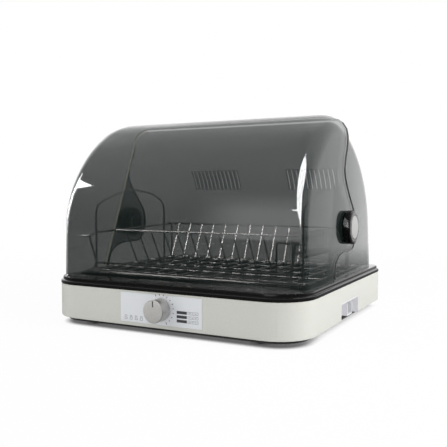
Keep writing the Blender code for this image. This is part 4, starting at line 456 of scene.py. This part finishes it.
class Marks:
    """Flat bars that make one piece."""

    def __init__(self):
        self.points = []
        self.faces = []

    def bar(self, x0, x1, z0, z1, turn=0.0):
        """A bar between two corners, turned about its middle."""
        start = len(self.points)
        mid_x, mid_z = (x0 + x1) / 2, (z0 + z1) / 2
        c, s = math.cos(turn), math.sin(turn)
        for y in (MARK_FRONT, MARK_BACK):
            for x, z in ((x0, z0), (x1, z0), (x1, z1), (x0, z1)):
                dx, dz = x - mid_x, z - mid_z
                self.points.append((mid_x + dx * c - dz * s, y, mid_z + dx * s + dz * c))
        self.faces += [tuple(start + k for k in quad) for quad in BOX_FACES]

    def frame(self, x0, x1, z0, z1, line):
        self.bar(x0, x1, z0, z0 + line)
        self.bar(x0, x1, z1 - line, z1)
        self.bar(x0, x0 + line, z0 + line, z1 - line)
        self.bar(x1 - line, x1, z0 + line, z1 - line)

    def make(self, name, material):
        piece(name, self.points, self.faces, material, "base")


# The table of times: three rows of a dark cell and a framed one with dashes in it
TABLE_ROWS = 3
ROW_LOW = 0.0262
ROW_STEP = 0.0068
CELL_HEIGHT = 0.0046
CELL_X = (0.0315, 0.0500)
FRAME_X = (0.0515, 0.0705)
FRAME_LINE = 0.0006
DASH_X = 0.0535
DASH_STEP = 0.0052
DASH_LENGTH = 0.0036
DASH_Z = (0.0019, 0.0027)

cells = Marks()
frames = Marks()
for row in range(TABLE_ROWS):
    low_z = ROW_LOW + row * ROW_STEP
    cells.bar(*CELL_X, low_z, low_z + CELL_HEIGHT)
    frames.frame(*FRAME_X, low_z, low_z + CELL_HEIGHT, FRAME_LINE)
    for k in range(3):
        left_x = DASH_X + k * DASH_STEP
        frames.bar(left_x, left_x + DASH_LENGTH, low_z + DASH_Z[0], low_z + DASH_Z[1])
cells.make("time_table_cells", ink)
frames.make("time_table_frames", pale_ink)

# The dial scale: ticks round the knob, every fifth one longer
KNOB_AT = (0.002, 0.044)
TICK_COUNT = 11
TICK_FIRST = 115.0
TICK_STEP = 18.0
TICK_FROM = 0.0222
TICK_SHORT = 0.0020
TICK_LONG = 0.0032
TICK_HALF_WIDTH = 0.0005

ticks = Marks()
for step in range(TICK_COUNT):
    angle = math.radians(TICK_FIRST - step * TICK_STEP)
    length = TICK_SHORT if step % 5 else TICK_LONG
    mid = TICK_FROM + length / 2
    x = KNOB_AT[0] + mid * math.cos(angle)
    z = KNOB_AT[1] + mid * math.sin(angle)
    ticks.bar(
        x - length / 2, x + length / 2, z - TICK_HALF_WIDTH, z + TICK_HALF_WIDTH, angle)
ticks.make("dial_ticks", ink)

# Four faint pictures: each a bowl with steam over it, every second one a little deeper
PICTURE_X = (-0.0665, -0.0563, -0.0462, -0.0360)
BOWL_HALF_WIDTH = 0.0026
BOWL_Z = (0.0225, 0.0262)
BOWL_DEEPER = 0.0007
BOWL_LINE = 0.0007
STEAM_STEP = 0.0018
STEAM_HALF_WIDTH = 0.0004
STEAM_Z = (0.0276, 0.0296)

pictures = Marks()
for k, x in enumerate(PICTURE_X):
    top_z = BOWL_Z[1] + BOWL_DEEPER * (k % 2)
    pictures.frame(x - BOWL_HALF_WIDTH, x + BOWL_HALF_WIDTH, BOWL_Z[0], top_z, BOWL_LINE)
    for n in (-1, 0, 1):
        steam_x = x + n * STEAM_STEP
        pictures.bar(steam_x - STEAM_HALF_WIDTH, steam_x + STEAM_HALF_WIDTH, *STEAM_Z)
pictures.make("panel_pictures", pale_ink)


# Stage
def maths(tree, operation, first, second=None):
    """One Math node; each of its terms is a socket or a plain number."""
    node = tree.nodes.new("ShaderNodeMath")
    node.operation = operation
    for socket, value in enumerate((first, second)):
        if value is None:
            continue
        if isinstance(value, (int, float)):
            node.inputs[socket].default_value = value
        else:
            tree.links.new(value, node.inputs[socket])
    return node.outputs[0]


def ramp(tree, value, low, high, start, end, kind="SMOOTHSTEP"):
    """From start to end as the value goes from low to high."""
    node = tree.nodes.new("ShaderNodeMapRange")
    node.interpolation_type = kind
    node.inputs["From Min"].default_value = low
    node.inputs["From Max"].default_value = high
    node.inputs["To Min"].default_value = start
    node.inputs["To Max"].default_value = end
    tree.links.new(value, node.inputs["Value"])
    return node.outputs["Result"]


def choose(tree, switch, off, on):
    """off where the switch is 0, on where it is 1."""
    node = tree.nodes.new("ShaderNodeMix")
    node.data_type = "FLOAT"
    tree.links.new(switch, node.inputs[0])
    for socket, value in ((2, off), (3, on)):
        if isinstance(value, (int, float)):
            node.inputs[socket].default_value = value
        else:
            tree.links.new(value, node.inputs[socket])
    return node.outputs[0]


# How bright the white at the sides and above is in reflections
SIDE_WHITE = 1.6
TOP_WHITE = 1.3

# Floor: white to the eye, with a painted contact shadow where it runs under the base, deeper at
# the front; in reflections it is grey, and white only far behind
FLOOR_HALF = 8.0
FLOOR_COLOUR = (0.9, 0.9, 0.9, 1.0)
FLOOR_MIRRORED = 0.22
FLOOR_WHITE_Y = (0.5, 2.2)
CONTACT_SHADOW_REACH = 0.012
CONTACT_SHADOW_SAMPLES = 8
CONTACT_SHADOW_Y = (-0.19, -0.08)
CONTACT_SHADOW_FRONT = 1.6
CONTACT_SHADOW_BEHIND = 0.35
# The floor's own white is this share of it near the object, and the rest takes light and shadow
LIT_NEAR = 0.95
LIT_RADIUS = (0.4, 1.6)


def floor_material():
    mat = bpy.data.materials.new("floor")
    mat.use_nodes = True
    tree = mat.node_tree
    tree.nodes.clear()
    path = tree.nodes.new("ShaderNodeLightPath")
    where = tree.nodes.new("ShaderNodeNewGeometry")
    parts = tree.nodes.new("ShaderNodeSeparateXYZ")
    tree.links.new(where.outputs["Position"], parts.inputs[0])
    x, y = parts.outputs["X"], parts.outputs["Y"]

    # Painted contact shadow: an occlusion term darkens the floor's own white under the base, more
    # at the front than behind
    contact_shadow = tree.nodes.new("ShaderNodeAmbientOcclusion")
    contact_shadow.inputs["Distance"].default_value = CONTACT_SHADOW_REACH
    contact_shadow.samples = CONTACT_SHADOW_SAMPLES
    share = ramp(tree, y, *CONTACT_SHADOW_Y, CONTACT_SHADOW_FRONT, CONTACT_SHADOW_BEHIND)
    seen_white = maths(tree, "POWER", contact_shadow.outputs["AO"], share)
    mirrored_white = ramp(tree, y, *FLOOR_WHITE_Y, FLOOR_MIRRORED, SIDE_WHITE)
    white = tree.nodes.new("ShaderNodeEmission")
    strength = choose(tree, path.outputs["Is Glossy Ray"], seen_white, mirrored_white)
    tree.links.new(strength, white.inputs["Strength"])

    diffuse = tree.nodes.new("ShaderNodeBsdfDiffuse")
    diffuse.inputs["Color"].default_value = FLOOR_COLOUR
    looked_at = maths(
        tree, "MAXIMUM", path.outputs["Is Camera Ray"], path.outputs["Is Glossy Ray"])
    looked_at = maths(tree, "MAXIMUM", looked_at, path.outputs["Is Transmission Ray"])
    squares = maths(
        tree, "ADD", maths(tree, "MULTIPLY", x, x), maths(tree, "MULTIPLY", y, y))
    radius = maths(tree, "SQRT", squares)
    lit = ramp(tree, radius, *LIT_RADIUS, LIT_NEAR, 1.0)
    blend = tree.nodes.new("ShaderNodeMixShader")
    tree.links.new(maths(tree, "MULTIPLY", looked_at, lit), blend.inputs["Fac"])
    tree.links.new(diffuse.outputs[0], blend.inputs[1])
    tree.links.new(white.outputs[0], blend.inputs[2])
    out = tree.nodes.new("ShaderNodeOutputMaterial")
    tree.links.new(blend.outputs[0], out.inputs["Surface"])
    return mat


corners = [
    (-FLOOR_HALF, -FLOOR_HALF, 0),
    (FLOOR_HALF, -FLOOR_HALF, 0),
    (FLOOR_HALF, FLOOR_HALF, 0),
    (-FLOOR_HALF, FLOOR_HALF, 0),
]
floor_mesh = bpy.data.meshes.new("floor")
floor_mesh.from_pydata(corners, [], [(0, 1, 2, 3)])
floor_mesh.materials.append(floor_material())
floor = bpy.data.objects.new("floor", floor_mesh)
scene.collection.objects.link(floor)

# Room: white to the eye; in reflections a dark flag stands in front, and white above and behind
AMBIENT = 0.41
# The flag ends where the length of (up, back) plus a share of sideways squared passes these
FLAG_UP = 0.81
FLAG_BACK = 0.80
FLAG_ASIDE = 0.72
FLAG_EDGE = (1.234, 1.250)
FLAG_LOW = 0.06
FLAG_HIGH = 0.9
FLAG_HIGH_Z = 0.85
FLAG_BEHIND_Y = (0.1, 0.8)
FLAG_BEHIND = 1.5
# A glow low in front of the flag, between two bearings
GLOW = 3.0
GLOW_LEFT_X = (-0.50, -0.30)
GLOW_RIGHT_X = (0.0, 0.5)
LOW_TO_HIGH_Z = (0.1, 0.6)
# The white is dimmer on the left
LEFT_X = (-0.75, -0.1)
LEFT_SHARE = 0.55


def room():
    world = bpy.data.worlds.new("studio")
    scene.world = world
    world.use_nodes = True
    tree = world.node_tree
    tree.nodes.clear()
    path = tree.nodes.new("ShaderNodeLightPath")
    facing = tree.nodes.new("ShaderNodeTexCoord")
    parts = tree.nodes.new("ShaderNodeSeparateXYZ")
    tree.links.new(facing.outputs["Generated"], parts.inputs[0])
    x, y, z = parts.outputs["X"], parts.outputs["Y"], parts.outputs["Z"]

    up = maths(tree, "DIVIDE", maths(tree, "MAXIMUM", z, 0.0), FLAG_UP)
    back = maths(tree, "DIVIDE", maths(tree, "MAXIMUM", y, 0.0), FLAG_BACK)
    squares = maths(
        tree, "ADD", maths(tree, "POWER", up, 2.0), maths(tree, "POWER", back, 2.0))
    sideways = maths(tree, "POWER", maths(tree, "ABSOLUTE", x), 2.0)
    reach = maths(
        tree, "ADD", maths(tree, "SQRT", squares), maths(tree, "MULTIPLY", sideways, FLAG_ASIDE))
    past_flag = ramp(tree, reach, *FLAG_EDGE, 0.0, 1.0)

    white = ramp(tree, z, *LOW_TO_HIGH_Z, SIDE_WHITE, TOP_WHITE)
    white = maths(tree, "MULTIPLY", white, ramp(tree, x, *LEFT_X, LEFT_SHARE, 1.0))
    flag = ramp(tree, z, 0.0, FLAG_HIGH_Z, FLAG_LOW, FLAG_HIGH, "LINEAR")
    flag = maths(tree, "ADD", flag, ramp(tree, y, *FLAG_BEHIND_Y, 0.0, FLAG_BEHIND))
    glow = ramp(tree, x, *GLOW_LEFT_X, 0.0, GLOW)
    glow = maths(tree, "MULTIPLY", glow, ramp(tree, x, *GLOW_RIGHT_X, 1.0, 0.0))
    glow = maths(tree, "MULTIPLY", glow, ramp(tree, z, *LOW_TO_HIGH_Z, 1.0, 0.0))
    mirrored = choose(tree, past_flag, maths(tree, "ADD", flag, glow), white)

    level = choose(tree, path.outputs["Is Glossy Ray"], AMBIENT, mirrored)
    looked_at = maths(
        tree, "MAXIMUM", path.outputs["Is Camera Ray"], path.outputs["Is Transmission Ray"])
    sky = tree.nodes.new("ShaderNodeBackground")
    sky.inputs["Color"].default_value = (1.0, 1.0, 1.0, 1.0)
    out = tree.nodes.new("ShaderNodeOutputWorld")
    tree.links.new(choose(tree, looked_at, level, 1.0), sky.inputs["Strength"])
    tree.links.new(sky.outputs[0], out.inputs["Surface"])


room()


# Lamps
def lamp(name, at, towards, size, power, gloss_on=None, roll=0.0):
    """A soft box; with gloss_on it lights the gloss of those objects alone, else all but gloss."""
    data = bpy.data.lights.new(name, "AREA")
    data.shape = "RECTANGLE"
    data.size, data.size_y = size
    data.energy = power
    ob = bpy.data.objects.new(name, data)
    scene.collection.objects.link(ob)
    ob.location = at
    aim = Vector(towards) - Vector(at)
    turn = Matrix.Rotation(math.radians(roll), 3, "Z")
    ob.rotation_euler = (aim.to_track_quat("-Z", "Y").to_matrix() @ turn).to_euler()
    ob.visible_camera = False
    if gloss_on is None:
        ob.visible_glossy = False
        return
    ob.visible_diffuse = False
    lit = bpy.data.collections.new(name)
    for item in gloss_on:
        lit.objects.link(item)
    ob.light_linking.receiver_collection = lit


def from_bearing(target, azimuth, elevation, distance):
    """A point that far from the target, the azimuth turning from the front to the right."""
    a, e = math.radians(azimuth), math.radians(elevation)
    way = Vector((math.cos(e) * math.sin(a), -math.cos(e) * math.cos(a), math.sin(e)))
    return tuple(Vector(target) + way * distance)


STRIP_DISTANCE = 5.0
LID_RIGHT_EDGE = (0.22, -0.17, 0.22)
LID_LEFT_EDGE = (-0.20, -0.168, 0.235)
strip_right_at = from_bearing(LID_RIGHT_EDGE, 26.5, 39.0, STRIP_DISTANCE)
strip_left_at = from_bearing(LID_LEFT_EDGE, -73.5, 16.5, STRIP_DISTANCE)
lid = [nodes["front_lid"]]
wires = [nodes[name] for name in ("rack_front_rail", "rack_grid", "rack_end_left")]
dividers = [ob for name, ob in nodes.items() if name.startswith("plate_divider")]
knob = [nodes["timer_knob"]]

lamp("key_right", (1.6, 0.1, 0.9), (0.0, 0.0, 0.15), (1.0, 1.4), 17.0)
lamp("fill_left", (-1.0, -1.1, 0.45), (-0.2, -0.2, 0.1), (0.8, 0.8), 2.9)
lamp("top", (0.0, 0.0, 1.7), (0.0, 0.0, 0.1), (1.6, 1.4), 12.0)
lamp("strip_right", strip_right_at, LID_RIGHT_EDGE, (2.8, 8.4), 2500.0, lid, -45.0)
lamp("strip_left", strip_left_at, LID_LEFT_EDGE, (1.5, 3.1), 560.0, lid, -20.0)
lamp("divider_glint", (0.5, -1.4, 2.1), (0.0, 0.12, 0.12), (4.0, 1.6), 600.0, dividers)
lamp("wire_front", (-1.4, -1.6, 1.5), (0.0, 0.0, 0.12), (1.6, 1.6), 120.0, wires)
lamp("knob_front", (-1.1, -2.0, 0.35), (0.0, -0.24, 0.04), (1.2, 1.0), 32.0, knob)

# Camera at the photograph's viewpoint
PHOTO_WIDTH = 447.0
FOCAL_LENGTH = 628.49
SENSOR_WIDTH = 36.0
CAMERA_AT = (0.55238, -1.04742, 0.23138)
YAW = math.radians(27.761)
PITCH = math.radians(2.907)

camera_data = bpy.data.cameras.new("camera")
camera_data.sensor_width = SENSOR_WIDTH
camera_data.lens = FOCAL_LENGTH * SENSOR_WIDTH / PHOTO_WIDTH
camera_data.clip_end = 50.0
camera = bpy.data.objects.new("camera", camera_data)
scene.collection.objects.link(camera)
camera.location = CAMERA_AT
look = Vector((
    -math.sin(YAW) * math.cos(PITCH),
    math.cos(YAW) * math.cos(PITCH),
    -math.sin(PITCH),
))
camera.rotation_euler = look.to_track_quat("-Z", "Y").to_euler()
scene.camera = camera
